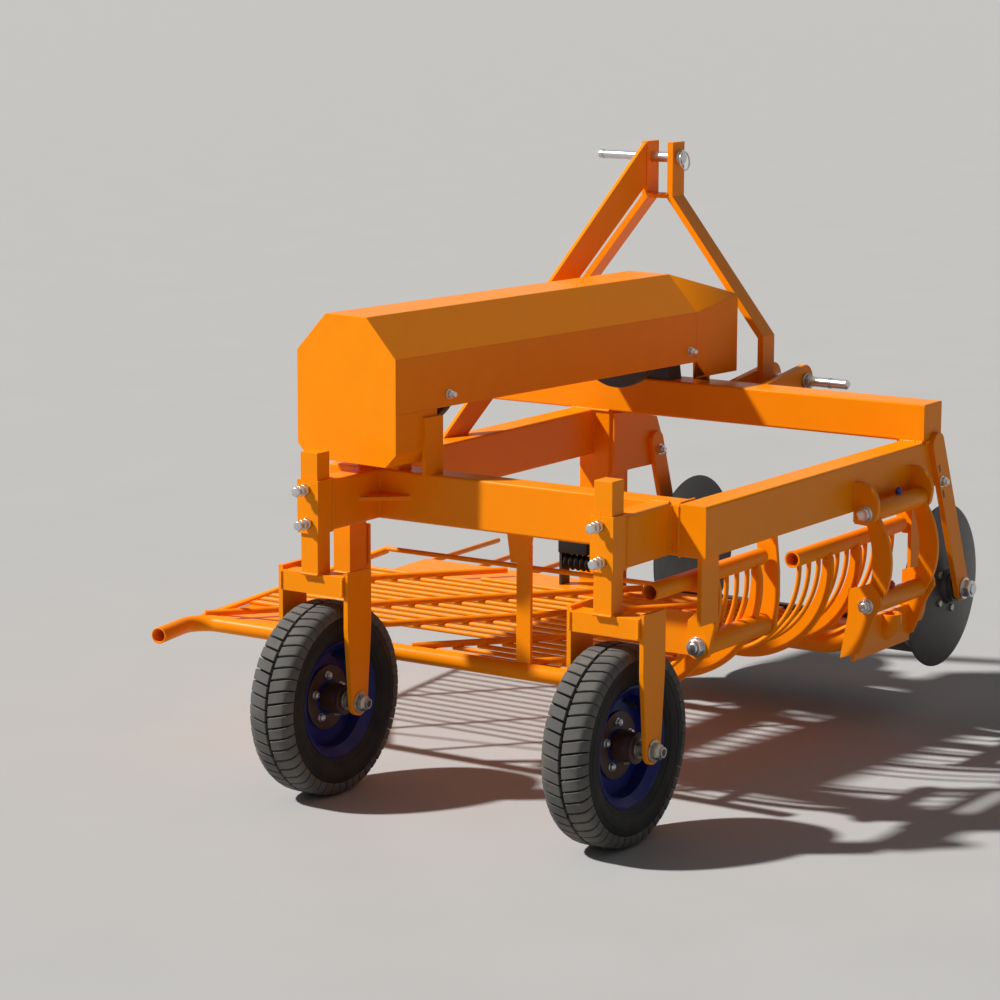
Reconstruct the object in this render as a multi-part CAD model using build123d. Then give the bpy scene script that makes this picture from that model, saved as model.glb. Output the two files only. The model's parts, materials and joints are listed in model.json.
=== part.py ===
"""Side-delivery vibrating potato digger for a tractor's three-point linkage.

X runs to the machine's right, Y forward to the tractor, Z up. While it is drawn, x = 0 is the
tractor's centre plane, y = 0 the rear face of the main frame and z = 0 the ground; the finished
pieces are then moved so that the origin is the centre of the box round the machine, on the ground.
All lengths are in millimetres and angles in degrees.
"""
import os
from math import atan2, cos, degrees, hypot, radians, sin, tan

from build123d import *

# ---------------------------------------------------------------- main frame
BEAM_W, BEAM_H, BEAM_WALL = 60.0, 100.0, 5.0      # rectangular tube of the main frame
FRAME_TOP = 630.0                                 # top of the main frame above the ground
FRAME_RIGHT = 760.0                               # outer face of the right side beam
FRAME_WIDTH = 871.0                               # over both side beams
FRAME_LENGTH = 978.0                              # rear face to front of the side beams
FRONT_BEAM = 80.0                                 # square tube across the front, on top
LEG = 80.0                                        # square leg under the front beam, left
RUNNING = 0.05                                    # radial clearance of a running fit

FRAME_LEFT = FRAME_RIGHT - FRAME_WIDTH
FRAME_UNDER = FRAME_TOP - BEAM_H
FRONT_Y = FRAME_LENGTH - FRONT_BEAM               # rear face of the front beam
FRONT_TOP = FRAME_TOP + FRONT_BEAM
FRONT_BEAM_LEFT = FRAME_LEFT - 234.0              # the front beam's end, past the left side beam
LEG_X = FRAME_LEFT + 63.0

# ---------------------------------------------------------------- depth wheels
TYRE_R, TYRE_W, RIM_R, RIM_W = 192.5, 96.0, 112.0, 74.0
WHEEL_X = (658.0, FRAME_LEFT + 98.0)                         # right and left wheel centres
AXLE_Y = -150.0
POST, POST_Y, POST_TOP = 40.0, -179.0, (698.0, 687.0)   # square post, right and left tops
SLEEVE, SLEEVE_H, SLEEVE_FOOT = 50.0, 105.0, 528.0
SLIDE_GAP = 0.6                                   # post to sleeve, each side
ARM_W = 50.0
GUSSET_Z, GUSSET_T = 574.0, 8.0
FORK_PLATE, FORK_WIDTH, FORK_DEPTH = 10.0, 168.0, 78.0
FORK_TOP, FORK_WAIST, FORK_EYE = 455.0, 345.0, 26.0
CROSSHEAD, CROSSHEAD_TOP = 40.0, 447.0
AXLE_D = 20.0
HUB_R, HUB_FLANGE_R, HUB_W = 26.0, 62.0, 100.0

# ---------------------------------------------------------------- three-point hitch
MAST_Y, MAST_T, MAST_DEPTH = FRAME_LENGTH + 122.0, 14.0, 50.0
EAR_GAP = 52.0                                    # between the two top ears
EAR_TOP, EAR_KNEE = 1212.0, 1090.0
MAST_FOOT_X, MAST_FOOT_Z, MAST_KNEE_Z = 262.0, 640.0, 795.0
TOP_PIN_D, TOP_PIN_Z, TOP_PIN_LEFT = 19.0, 1177.0, -164.0
LOWER_PIN_D, LOWER_PIN_Y, LOWER_PIN_Z = 22.0, FRAME_LENGTH + 172.0, 696.0
PIN_STEP = 4.0                                    # the pins are this much thicker inside their lugs
LOWER_SHOULDER = 341.5                            # half the span over the lower pins' shoulders
LOWER_PIN_REACH = 108.0
LUG_T, LUG_R = 15.0, 36.0
BRACE_T, BRACE_X = 10.0, FRAME_LEFT + 15.0
BRACE_FOOT = (379.0, 459.0)

# ---------------------------------------------------------------- drive guard
GUARD_TURN = 5.5                                  # the drive runs from rear left to front right
GUARD_START = (-7.0, -85.0)                       # middle of the rear cap, in plan
GUARD_W, GUARD_FOLD, GUARD_TOP, GUARD_TOP_W = 258.0, 866.0, 943.0, 106.0
GUARD_SKIRT = 758.0                               # lower edge of the long cover
GUARD_LEN, MOUTH_LEN, MOUTH_TOP, MOUTH_FOOT = FRAME_LENGTH + 12.0, 152.0, 893.0, 723.0
GUARD_SHEET = 3.0
BOX_LEN, BOX_FOOT, BOX_CUT = 124.0, 652.0, 27.0
SHAFT_Z, SHAFT_D, SHAFT_REAR, SHAFT_FRONT = 812.0, 40.0, 30.0, FRAME_LENGTH + 119.0
STUB_D, STUB_REAR = 35.0, FRAME_LENGTH + 66.0     # the end that the tractor's drive shaft goes on
CRANK_R, CRANK_T, CRANK_BOSS_R, CRANK_BOSS_T = 108.0, 22.0, 40.0, 52.0
CRANKS = (("rear", 205.0), ("front", FRAME_LENGTH - 98.0))                    # name, place along
BEARINGS = (("rear", 115.0, FRAME_TOP), ("front", FRAME_LENGTH + 42.0, FRONT_TOP))   # name, place, foot
BEARING_T = 44.0
STAY_T = 8.0
# side face it starts from, rear, front, foot, top
REAR_STAY = (GUARD_W / 2, 78.0, 133.0, FRAME_TOP, 745.0)
FRONT_STAY = (GUARD_W / 2 - GUARD_SHEET - STAY_T, FRAME_LENGTH + 14.0, FRAME_LENGTH + 67.0, FRONT_TOP, 790.0)

# ---------------------------------------------------------------- shaking grate
GRATE_Z = 250.0                                   # middle of the rods over the bed
ROD_D, ROD_PITCH = 10.0, 40.0
FIRST_ROD, LAST_ROD = 105.0, 825.0
FULL_ROD = 250.0                                  # rods behind this y stop at a tie on their left
SIDE_BEND = 190.0                                 # radius of the rods' upturned right side
RAIL_D, RAIL_WALL = 34.0, 3.5
RAILS = ((700.0, 478.0, -100.0, 318.0), (728.0, 462.0, 395.0, 860.0))         # x, z, from y, to y
EDGE_D, TIE_D = 14.0, 14.0
# left edge of the bed, in plan; what lies at this open side is placed from the left side beam
EDGE_REAR, EDGE_FRONT = (FRAME_LEFT - 389.0, 20.0), (FRAME_LEFT - 499.0, 890.0)
TIE_TURN = 40.0                                   # the ties on top steer the crop to the left
TIE_STARTS = ((FRAME_LEFT - 442.0, 436.0), (FRAME_LEFT - 387.0, 78.0), (FRAME_LEFT - 132.0, 70.0),
              (40.0, 70.0), (312.0, 84.0))
TIE_FRONT = 822.0
SHORT_TIE = 3                                     # the tie that the short rods stop at
SHEET = 4.0
APRON = ((FRAME_LEFT - 377.0, 736.0), (FRAME_LEFT - 200.0, 729.0), (440.0, 862.0), (440.0, 890.0),
         (FRAME_LEFT - 386.0, 890.0))
FINGER_D = 12.0
FINGERS = ((FRAME_LEFT - 375.0, 742.0, FRAME_LEFT - 397.0, 1205.0),
           (FRAME_LEFT - 245.0, 800.0, FRAME_LEFT - 263.0, 1066.0),
           (FRAME_LEFT - 115.0, 820.0, FRAME_LEFT - 123.0, 1062.0))
REAR_TUBE_D, REAR_TUBE_Y, REAR_TUBE_Z, TUBE_WALL = 34.0, 70.0, 244.0, 3.5
FRONT_TUBE_D, FRONT_TUBE_Y, FRONT_TUBE_RISE = 46.0, 742.0, 40.0
BEARER_X, BEARER_T, BEARER_H, BEARER_FRONT = 490.0, 10.0, 34.0, 850.0
RIBS = (("rear", 125.0, 0), ("middle", 285.0, 0), ("front", 525.0, 1), ("fore", 645.0, 1))   # name, y, rail
RIB_T, RIB_DEPTH = 10.0, 30.0
TOP_BAR_Y = FIRST_ROD + ROD_PITCH - ROD_D         # behind the second rod, touching it
TOP_BAR_Z, TOP_BAR_KNEE = 438.0, FRAME_LEFT + 43.0
PIVOT_X, PIVOT_Z, PIVOT_TUBE_D, PIVOT_PIN_D = 702.0, 343.0, 44.0, 24.0
PIVOT_REAR, PIVOT_FRONT = 90.0, 325.0
HANGER_X, HANGER_T, HANGER_REAR = 731.0, 10.0, 20.0   # outer strap of the rear hanger
STRAP_W, STRAP_T, STRAP_TOP = 34.0, 8.0, 500.0
STRAPS = (("middle", 311.0), ("left", FRAME_LEFT + 31.0))
GUIDE = (FRAME_LEFT + 7.0, FRAME_LEFT + 48.0, 2.0, 58.0, 412.0)   # box under the rear beam at the left strap
FREE = 6.0                                        # room between moving and fixed pieces

# ---------------------------------------------------------------- front tools
DISC_R, DISC_T, DISC_DISH = 176.0, 4.0, 18.0
DISC_ARM_W, DISC_ARM_T = 50.0, 12.0
DISC_AXLE_D, DISC_HUB_R = 24.0, 31.0
SIDE_PLATE = 8.0                                  # plate on the left leg that carries the left arm
DISC_OFFSET = 45.0                                # arm's inner face to the plane of the disc's edge
# top of each arm and its axle, in the YZ plane
ARM_RIGHT = ((FRAME_LENGTH - 33.0, 622.0), (FRAME_LENGTH + 104.0, 292.0))
ARM_LEFT = ((FRAME_LENGTH + 94.0, 540.0), (FRAME_LENGTH + 182.0, 278.0))
SHARE_TIP, SHARE_TIP_Z, SHARE_T, SHARE_TOP = FRAME_LENGTH + 202.0, 116.0, 12.0, 232.0
SHARE_LEFT, SHARE_RIGHT = 70.0, 622.0
CARRIER, CARRIER_Y, CARRIER_Z, CARRIER_RIGHT = 60.0, FRAME_LENGTH - 73.0, 162.0, 640.0
# rolled plate at the right
CHEEK_X, CHEEK_BEND = 751.0, 111.0
CHEEK_REAR, CHEEK_FRONT = FRAME_LENGTH - 110.0, FRAME_LENGTH - 33.0
STAND, STAND_X, FOOT = 50.0, 90.0, 80.0           # square stand under the carrier, on a foot plate

# ---------------------------------------------------------------- rocker at the right side
ROCKER_X, ROCKER_Z, ROCKER_BOLT_D = 785.0, 529.0, 16.0
EYE_X, EYE_Z = 790.0, 340.0
LUG_REAR_Y, LUG_FRONT_Y, ROCKER_LUG_T = 595.0, 835.0, 12.0
CHEEK_T = 10.0

NODES = {}


def keep(name, shape):
    """Store one finished piece under its node name."""
    NODES[name] = shape
    return shape


def block(x0, x1, y0, y1, z0, z1):
    """Solid box between two corners."""
    return Pos((x0 + x1) / 2, (y0 + y1) / 2, (z0 + z1) / 2) * Box(x1 - x0, y1 - y0, z1 - z0)


def tube_box(x0, x1, y0, y1, z0, z1, wall, along):
    """Rectangular tube with rounded long edges, open inside from end to end."""
    outer = block(x0, x1, y0, y1, z0, z1)
    outer = fillet(outer.edges().filter_by(along), wall)
    gx, gy, gz = {Axis.X: (1, -wall, -wall), Axis.Y: (-wall, 1, -wall), Axis.Z: (-wall, -wall, 1)}[along]
    return outer - block(x0 - gx, x1 + gx, y0 - gy, y1 + gy, z0 - gz, z1 + gz)


def plate_yz(points, x0, x1):
    """Flat plate whose outline lies in the YZ plane."""
    face = make_face(Polyline(*points, close=True))
    return Plane((x0, 0, 0), x_dir=(0, 1, 0), z_dir=(1, 0, 0)) * extrude(face, x1 - x0)


def plate_xz(points, y0, y1):
    """Flat plate whose outline lies in the XZ plane."""
    face = make_face(Polyline(*points, close=True))
    return Plane((0, y1, 0), x_dir=(1, 0, 0), z_dir=(0, -1, 0)) * extrude(face, y1 - y0)


def plate_xy(points, z0, z1):
    """Flat plate whose outline lies in the XY plane."""
    return Pos(0, 0, z0) * extrude(make_face(Polyline(*points, close=True)), z1 - z0)


def rod_x(x0, x1, y, z, d):
    """Round bar along X."""
    return Plane((x0, y, z), z_dir=(1, 0, 0)) * extrude(Circle(d / 2), x1 - x0)


def rod_y(y0, y1, x, z, d):
    """Round bar along Y."""
    return Plane((x, y0, z), z_dir=(0, 1, 0)) * extrude(Circle(d / 2), y1 - y0)


def sweep_round(path, d):
    """Round bar swept along a path."""
    return sweep(Plane(path @ 0, z_dir=path % 0) * Circle(d / 2), path=path)


def from_right(x, sign):
    """Mirror a piece of the right side to the left where the sign is negative."""
    return x if sign > 0 else mirror(x, Plane.YZ)


# ================================================================ main frame
beam = tube_box(FRAME_RIGHT - BEAM_W, FRAME_RIGHT, 0, FRAME_LENGTH, FRAME_UNDER, FRAME_TOP,
                BEAM_WALL, Axis.Y)
inside = (FRAME_RIGHT - BEAM_W + 2, FRAME_RIGHT - 2)
for y in (0, FRAME_LENGTH - BEAM_WALL):
    # closed end
    beam += block(*inside, y, y + BEAM_WALL, FRAME_UNDER + 2, FRAME_TOP - 2)
for y in (LUG_REAR_Y, LUG_FRONT_Y):
    # ear that carries the rocker: upright against the beam, rounded over the bolt
    with BuildSketch(Plane((0, y + ROCKER_LUG_T, 0), x_dir=(1, 0, 0), z_dir=(0, -1, 0))) as ear:
        with BuildLine():
            top = Polyline((FRAME_RIGHT - 1, 506), (FRAME_RIGHT - 1, 592), (FRAME_RIGHT + 16, 592))
            nose = ThreePointArc(top @ 1, (FRAME_RIGHT + 48, 562), (ROCKER_X + 24, ROCKER_Z))
            tail = ThreePointArc(nose @ 1, (ROCKER_X + 14, ROCKER_Z - 20), (ROCKER_X - 4, ROCKER_Z - 24))
            Line(tail @ 1, top @ 0)
        make_face()
        with Locations((ROCKER_X, ROCKER_Z)):
            Circle(ROCKER_BOLT_D / 2, mode=Mode.SUBTRACT)
    beam += extrude(ear.sketch, ROCKER_LUG_T)
keep("right_side_beam", beam)
beam = tube_box(FRAME_LEFT, FRAME_RIGHT - BEAM_W, 0, BEAM_W, FRAME_UNDER, FRAME_TOP, BEAM_WALL, Axis.X)
beam += block(FRAME_LEFT, FRAME_LEFT + BEAM_WALL, 2, BEAM_W - 2, FRAME_UNDER + 2, FRAME_TOP - 2)
# guides under the beam, beside the grate's straps
x = STRAPS[0][1]
beam += plate_xz([(x - 30, FRAME_UNDER), (x + 30, FRAME_UNDER), (x + 20, FRAME_UNDER - 66),
                  (x - 20, FRAME_UNDER - 66)], BEAM_W - STRAP_T - 2, BEAM_W - 2)
beam += block(*GUIDE, FRAME_UNDER + 1)
keep("rear_beam", beam)
keep("left_side_beam", tube_box(FRAME_LEFT, FRAME_LEFT + BEAM_W, BEAM_W, FRONT_Y,
                                FRAME_UNDER, FRAME_TOP, BEAM_WALL, Axis.Y))
beam = tube_box(FRONT_BEAM_LEFT, FRAME_RIGHT, FRONT_Y, FRAME_LENGTH, FRAME_TOP, FRONT_TOP, BEAM_WALL, Axis.X)
for x in (FRONT_BEAM_LEFT, FRAME_RIGHT - BEAM_WALL):
    beam += block(x, x + BEAM_WALL, FRONT_Y + 2, FRAME_LENGTH - 2, FRAME_TOP + 2, FRONT_TOP - 2)
keep("front_beam", beam)
leg_right = LEG_X + LEG / 2
leg = tube_box(LEG_X - LEG / 2, leg_right, FRONT_Y, FRAME_LENGTH, CARRIER_Z, FRAME_TOP, BEAM_WALL, Axis.Z)
leg += plate_yz([(FRONT_Y + 6, 625), (FRAME_LENGTH, 619), (FRAME_LENGTH + 108, 596), (FRAME_LENGTH + 153, 506),
                 (FRAME_LENGTH + 143, 487), (FRAME_LENGTH, 490), (FRONT_Y + 6, 490)],
                leg_right, leg_right + SIDE_PLATE)
keep("front_leg", leg)

# ================================================================ wheel arms, posts and wheels
for side, wheel_x, post_top in zip(("right", "left"), WHEEL_X, POST_TOP):
    arm = tube_box(wheel_x - ARM_W / 2, wheel_x + ARM_W / 2, POST_Y + SLEEVE / 2, 0,
                   FRAME_UNDER, FRAME_TOP, BEAM_WALL, Axis.Y)
    arm += block(wheel_x - SLEEVE / 2, wheel_x + SLEEVE / 2, POST_Y - SLEEVE / 2, POST_Y + SLEEVE / 2,
                 SLEEVE_FOOT, SLEEVE_FOOT + SLEEVE_H)
    bore = POST / 2 + SLIDE_GAP
    arm -= block(wheel_x - bore, wheel_x + bore, POST_Y - bore, POST_Y + bore,
                 SLEEVE_FOOT - 1, SLEEVE_FOOT + SLEEVE_H + 1)
    if side == "left":
        corner = wheel_x + ARM_W / 2 - 1
        arm += plate_xy([(corner, 0), (corner, -70), (corner + 80, 0)], GUSSET_Z, GUSSET_Z + GUSSET_T)
    keep(f"wheel_arm_{side}", arm)

    # square post, crosshead and two cheeks that narrow to the axle
    half, foot_z = FORK_WIDTH / 2, TYRE_R
    fork = block(wheel_x - POST / 2, wheel_x + POST / 2, POST_Y - POST / 2, POST_Y + POST / 2,
                 CROSSHEAD_TOP, post_top)
    fork += block(wheel_x - half + FORK_PLATE, wheel_x + half - FORK_PLATE,
                  POST_Y - CROSSHEAD / 2 + 6, POST_Y + CROSSHEAD / 2 + 6,
                  CROSSHEAD_TOP - CROSSHEAD, CROSSHEAD_TOP)
    rear, front = AXLE_Y - FORK_DEPTH / 2, AXLE_Y + FORK_DEPTH / 2
    with BuildSketch(Plane.YZ) as cheek:
        with BuildLine():
            a = Polyline((AXLE_Y - FORK_EYE, foot_z), (rear, FORK_WAIST), (rear, FORK_TOP),
                         (front, FORK_TOP), (front, FORK_WAIST), (AXLE_Y + FORK_EYE, foot_z))
            RadiusArc(a @ 1, a @ 0, FORK_EYE)
        make_face()
        with Locations((AXLE_Y, foot_z)):
            Circle(AXLE_D / 2, mode=Mode.SUBTRACT)
    for x in (wheel_x - half, wheel_x + half - FORK_PLATE):
        fork += Pos(x, 0, 0) * extrude(cheek.sketch, FORK_PLATE)
    keep(f"wheel_fork_{side}", fork)
    keep(f"wheel_axle_{side}", rod_x(wheel_x - half - 14, wheel_x + half + 22, AXLE_Y, foot_z, AXLE_D))

    # rim and hub turned in one profile: axle bore, hub barrel, dished disc, rim well and flanges
    r, w = RIM_R, RIM_W / 2
    profile = Polyline((AXLE_D / 2 + RUNNING, -HUB_W / 2), (HUB_R, -HUB_W / 2), (HUB_R, -14),
                       (HUB_FLANGE_R, -14), (r - 22, -10), (r - 22, -w + 12), (r - 6, -w + 4),
                       (r, -w), (r + 5, -w), (r + 5, -w + 4), (r - 8, -w + 14), (r - 8, w - 14),
                       (r + 5, w - 4), (r + 5, w), (r, w), (r - 14, w - 14), (r - 14, -2),
                       (HUB_FLANGE_R, 2), (HUB_R, 8), (HUB_R, HUB_W / 2),
                       (AXLE_D / 2 + RUNNING, HUB_W / 2), close=True)
    place = Pos(wheel_x, AXLE_Y, TYRE_R) * Rot(0, 0, -90)
    keep(f"wheel_rim_{side}", place * revolve(make_face(profile), Axis.Y))

    # tyre section: beads over the rim, bulged walls and a slightly crowned tread
    t, tw = TYRE_R, TYRE_W / 2
    with BuildSketch() as section:
        with BuildLine():
            b = Polyline((r + 6, -w + 5), (r + 8, -w - 3), (r + 30, -tw))
            c = ThreePointArc(b @ 1, (t - 12, -tw + 3), (t - 4, -tw + 16))
            d = ThreePointArc(c @ 1, (t, 0), (t - 4, tw - 16))
            e = ThreePointArc(d @ 1, (t - 12, tw - 3), (r + 30, tw))
            Polyline(e @ 1, (r + 8, w + 3), (r + 6, w - 5), (r - 7, w - 15), (r - 7, -w + 15), b @ 0)
        make_face()
    keep(f"tyre_{side}", place * revolve(section.sketch, Axis.Y))

# ================================================================ three-point hitch
ear_x = EAR_GAP / 2
foot_x = MAST_FOOT_X + MAST_T / 2
path = Polyline((ear_x + MAST_T / 2, EAR_TOP), (ear_x + MAST_T / 2, EAR_KNEE),
                (foot_x, MAST_KNEE_Z), (foot_x, MAST_FOOT_Z))
bar = Plane((0, MAST_Y + MAST_DEPTH / 2, 0), x_dir=(1, 0, 0), z_dir=(0, -1, 0)) * extrude(
    trace(path, MAST_T), MAST_DEPTH)
mast_rear = MAST_Y - MAST_DEPTH / 2
mast = bar + mirror(bar, Plane.YZ)
mast += block(-ear_x - 1, ear_x + 1, mast_rear, mast_rear + MAST_DEPTH, EAR_KNEE - 2, EAR_KNEE + 6)
thick = TOP_PIN_D + PIN_STEP
mast -= rod_x(-60, 60, MAST_Y, TOP_PIN_Z, thick + 2 * RUNNING)
keep("mast", mast)
keep("top_link_pin", rod_x(TOP_PIN_LEFT, 0, MAST_Y, TOP_PIN_Z, TOP_PIN_D)
     + rod_x(-ear_x - MAST_T, ear_x + MAST_T + 14, MAST_Y, TOP_PIN_Z, thick))

for side, sign in (("right", 1), ("left", -1)):
    with BuildSketch(Plane.YZ) as lug:
        with BuildLine():
            l = Polyline((LOWER_PIN_Y, LOWER_PIN_Z - LUG_R), (FRAME_LENGTH, FRAME_TOP + 2),
                         (FRAME_LENGTH, FRONT_TOP), (LOWER_PIN_Y, LOWER_PIN_Z + LUG_R))
            RadiusArc(l @ 1, l @ 0, LUG_R)
        make_face()
        with Locations((LOWER_PIN_Y, LOWER_PIN_Z)):
            Circle((LOWER_PIN_D + PIN_STEP) / 2, mode=Mode.SUBTRACT)
    inner, outer = MAST_FOOT_X, LOWER_SHOULDER
    bracket = plate_xy([(inner - 130, FRAME_LENGTH), (outer - 5, FRAME_LENGTH),
                        (outer - 5, MAST_Y + 30), (inner - 30, MAST_Y + 10)], FRAME_TOP + 52, FRAME_TOP + 60)
    bracket -= block(inner, inner + MAST_T, mast_rear, mast_rear + MAST_DEPTH, MAST_FOOT_Z, MAST_KNEE_Z)
    for x in (inner, outer):
        bracket += Pos(x - LUG_T, 0, 0) * extrude(lug.sketch, LUG_T)
    pin = rod_x(inner, outer + LOWER_PIN_REACH, LOWER_PIN_Y, LOWER_PIN_Z, LOWER_PIN_D)
    pin = chamfer(pin.faces().sort_by(Axis.X)[-1].edges(), 4)
    pin += rod_x(inner - LUG_T - 12, outer, LOWER_PIN_Y, LOWER_PIN_Z, LOWER_PIN_D + PIN_STEP)
    keep(f"hitch_bracket_{side}", from_right(bracket, sign))
    keep(f"hitch_pin_{side}", from_right(pin, sign))

# long brace from the left side beam up to the rear edge of the left ear
brace_y = sum(BRACE_FOOT) / 2
brace_top_x = -ear_x - MAST_T / 2
turn = degrees(atan2(brace_top_x - BRACE_X, mast_rear - brace_y))
brace = plate_yz([(BRACE_FOOT[0], FRAME_TOP), (BRACE_FOOT[1], FRAME_TOP),
                  (mast_rear + 10, EAR_KNEE + 30), (mast_rear + 10, EAR_TOP + 4)], -BRACE_T / 2, BRACE_T / 2)
brace = Pos(BRACE_X, brace_y, 0) * Rot(0, 0, -turn) * Pos(0, -brace_y, 0) * brace
brace -= block(-200, 200, mast_rear, mast_rear + 100, FRAME_TOP, EAR_TOP + 100)
keep("mast_brace", brace)

# ================================================================ drive guard and drive line
GUARD = Location((GUARD_START[0], GUARD_START[1], 0), (0, 0, -GUARD_TURN))


def guard_outline(foot, inset=0.0):
    """Section across the guard: flat top, two slopes and two upright sides."""
    half, top = GUARD_W / 2 - inset, GUARD_TOP_W / 2 - inset * 0.45
    return [(-half, foot), (-half, GUARD_FOLD - inset * 0.4), (-top, GUARD_TOP - inset),
            (top, GUARD_TOP - inset), (half, GUARD_FOLD - inset * 0.4), (half, foot)]


def box_outline(inset=0.0):
    """Section across the lower half of the rear box, with cut corners."""
    half, cut, foot = GUARD_W / 2 - inset, BOX_CUT - inset / 2, BOX_FOOT + inset
    return [(-half, GUARD_SKIRT + inset), (-half, foot + cut), (-half + cut, foot),
            (half - cut, foot), (half, foot + cut), (half, GUARD_SKIRT + inset)]


def stay(face, rear, front, foot, top):
    """Flat stay at the guard's right side, down to the frame."""
    return block(face, face + STAY_T, rear, front, foot, top)


cover = plate_xz(guard_outline(GUARD_SKIRT), GUARD_SHEET, GUARD_LEN)
cover -= plate_xz(guard_outline(GUARD_SKIRT - 1, GUARD_SHEET), 0, GUARD_LEN + 1)
keep("guard_cover", GUARD * cover)

box = plate_xz(box_outline(), GUARD_SHEET, BOX_LEN)
box -= plate_xz(box_outline(GUARD_SHEET), GUARD_SHEET - 1, BOX_LEN + 1)
box += plate_xz(guard_outline(GUARD_SKIRT)[1:5] + box_outline()[:0:-1], 0, GUARD_SHEET)
box -= block(-56, 56, 85, BOX_LEN + 1, BOX_FOOT - 1, BOX_FOOT + 10)
keep("guard_rear_box", GUARD * (box + stay(*REAR_STAY)))


def mouth_skin(inset):
    """The cover's sloped section opening forward into an upright one."""
    ends = []
    half, top = GUARD_W / 2 - inset, GUARD_TOP_W / 2 - inset * 0.45
    for y, shoulder, fold, crest in ((GUARD_LEN, top, GUARD_FOLD - inset * 0.4, GUARD_TOP - inset),
                                     (GUARD_LEN + MOUTH_LEN, half - 1, MOUTH_TOP - inset - 1, MOUTH_TOP - inset)):
        face = make_face(Polyline((-half, MOUTH_FOOT), (-half, fold), (-shoulder, crest), (shoulder, crest),
                                  (half, fold), (half, MOUTH_FOOT), close=True))
        ends.append(Plane((0, y, 0), x_dir=(1, 0, 0), z_dir=(0, -1, 0)) * face)
    return loft(ends, ruled=True)


void = mouth_skin(GUARD_SHEET)
mouth = mouth_skin(0) - void - Pos(0, 0, -2) * void
mouth -= plate_yz([(GUARD_LEN - 1, MOUTH_FOOT - 1), (GUARD_LEN + 50, MOUTH_FOOT + 4),
                   (GUARD_LEN - 1, GUARD_SKIRT + 4)], -GUARD_W, GUARD_W)
keep("guard_mouth", GUARD * (mouth + stay(*FRONT_STAY)))

shaft = rod_y(SHAFT_REAR, STUB_REAR, 0, SHAFT_Z, SHAFT_D)
shaft += rod_y(STUB_REAR - 44, SHAFT_FRONT, 0, SHAFT_Z, STUB_D)
keep("drive_shaft", GUARD * shaft)
for name, at in CRANKS:
    disc = rod_y(-CRANK_T / 2, CRANK_T / 2, 0, 0, 2 * CRANK_R)
    disc += rod_y(-CRANK_BOSS_T / 2, CRANK_BOSS_T / 2, 0, 0, 2 * CRANK_BOSS_R)
    disc -= rod_y(-CRANK_BOSS_T, CRANK_BOSS_T, 0, 0, SHAFT_D)
    for a in range(45, 360, 90):
        disc -= Rot(0, a, 0) * rod_y(-CRANK_T, CRANK_T, 72, 0, 32)
    keep(f"crank_disc_{name}", GUARD * Pos(0, at, SHAFT_Z) * disc)
for name, at, foot in BEARINGS:
    housing = plate_xz([(-52, foot), (52, foot), (34, SHAFT_Z + 30), (-34, SHAFT_Z + 30)],
                       at - BEARING_T / 2, at + BEARING_T / 2)
    housing -= rod_y(at - BEARING_T, at + BEARING_T, 0, SHAFT_Z, SHAFT_D + 2 * RUNNING)
    keep(f"shaft_bearing_{name}", GUARD * housing)

# ================================================================ shaking grate
UNDER = GRATE_Z - ROD_D / 2                       # underside of the rods
FRONT_TUBE_Z = UNDER - SHEET - FRONT_TUBE_D / 2


def edge_x(y):
    """Left edge of the bed at a given y."""
    t = (y - EDGE_REAR[1]) / (EDGE_FRONT[1] - EDGE_REAR[1])
    return EDGE_REAR[0] + t * (EDGE_FRONT[0] - EDGE_REAR[0])


def rod_start(y):
    """Left end of the rod at a given y: at a tie, at the edge rod or on the apron."""
    if y < FULL_ROD:
        x, tie_y = TIE_STARTS[SHORT_TIE]
        return x + (y - tie_y) * tan(radians(TIE_TURN)) - 12
    if y < APRON[0][1]:
        return edge_x(y)
    (x0, y0), (x1, y1) = APRON[1:3]
    return x0 + (y - y0) * (x1 - x0) / (y1 - y0) - 24


def curved_rod(y, rail_x, rail_z):
    """Rod of the bed: flat from its left end, then bent up to the side rail."""
    with BuildLine() as path:
        Line((rod_start(y), GRATE_Z), (rail_x - SIDE_BEND, GRATE_Z))
        bend = TangentArc((rail_x - SIDE_BEND, GRATE_Z), (rail_x, GRATE_Z + SIDE_BEND), tangent=(1, 0))
        Line(bend @ 1, (rail_x, rail_z))
    return sweep_round(Plane((0, y, 0), x_dir=(1, 0, 0), z_dir=(0, -1, 0)) * path.line, ROD_D)


# rear cross tube, turned rearward at its open left end
with BuildLine() as path:
    run = Line((640, REAR_TUBE_Y, REAR_TUBE_Z), (-455, REAR_TUBE_Y, REAR_TUBE_Z))
    turn = TangentArc(run @ 1, (-505, REAR_TUBE_Y - 60, REAR_TUBE_Z), tangent=run % 1)
    Line(turn @ 1, turn @ 1 + (turn % 1) * 100)
rear_bar = sweep_round(path.line, REAR_TUBE_D)
keep("grate_rear_tube", rear_bar - sweep_round(path.line, REAR_TUBE_D - 2 * TUBE_WALL))

# front cross tube, stepped up past the bed and turned up at its right end
high = FRONT_TUBE_Z + FRONT_TUBE_RISE
with BuildLine() as path:
    run = Line((-60, FRONT_TUBE_Y, FRONT_TUBE_Z), (610, FRONT_TUBE_Y, FRONT_TUBE_Z))
    rise = Spline(run @ 1, (740, FRONT_TUBE_Y, high), tangents=(Vector(1, 0, 0), Vector(1, 0, 0)))
    turn = TangentArc(rise @ 1, (772, FRONT_TUBE_Y, high + 32), tangent=Vector(1, 0, 0))
    Line(turn @ 1, turn @ 1 + Vector(0, 0, 8))
front_bar = sweep_round(path.line, FRONT_TUBE_D)
keep("grate_front_tube", front_bar - sweep_round(path.line, FRONT_TUBE_D - 2 * TUBE_WALL))

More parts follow.
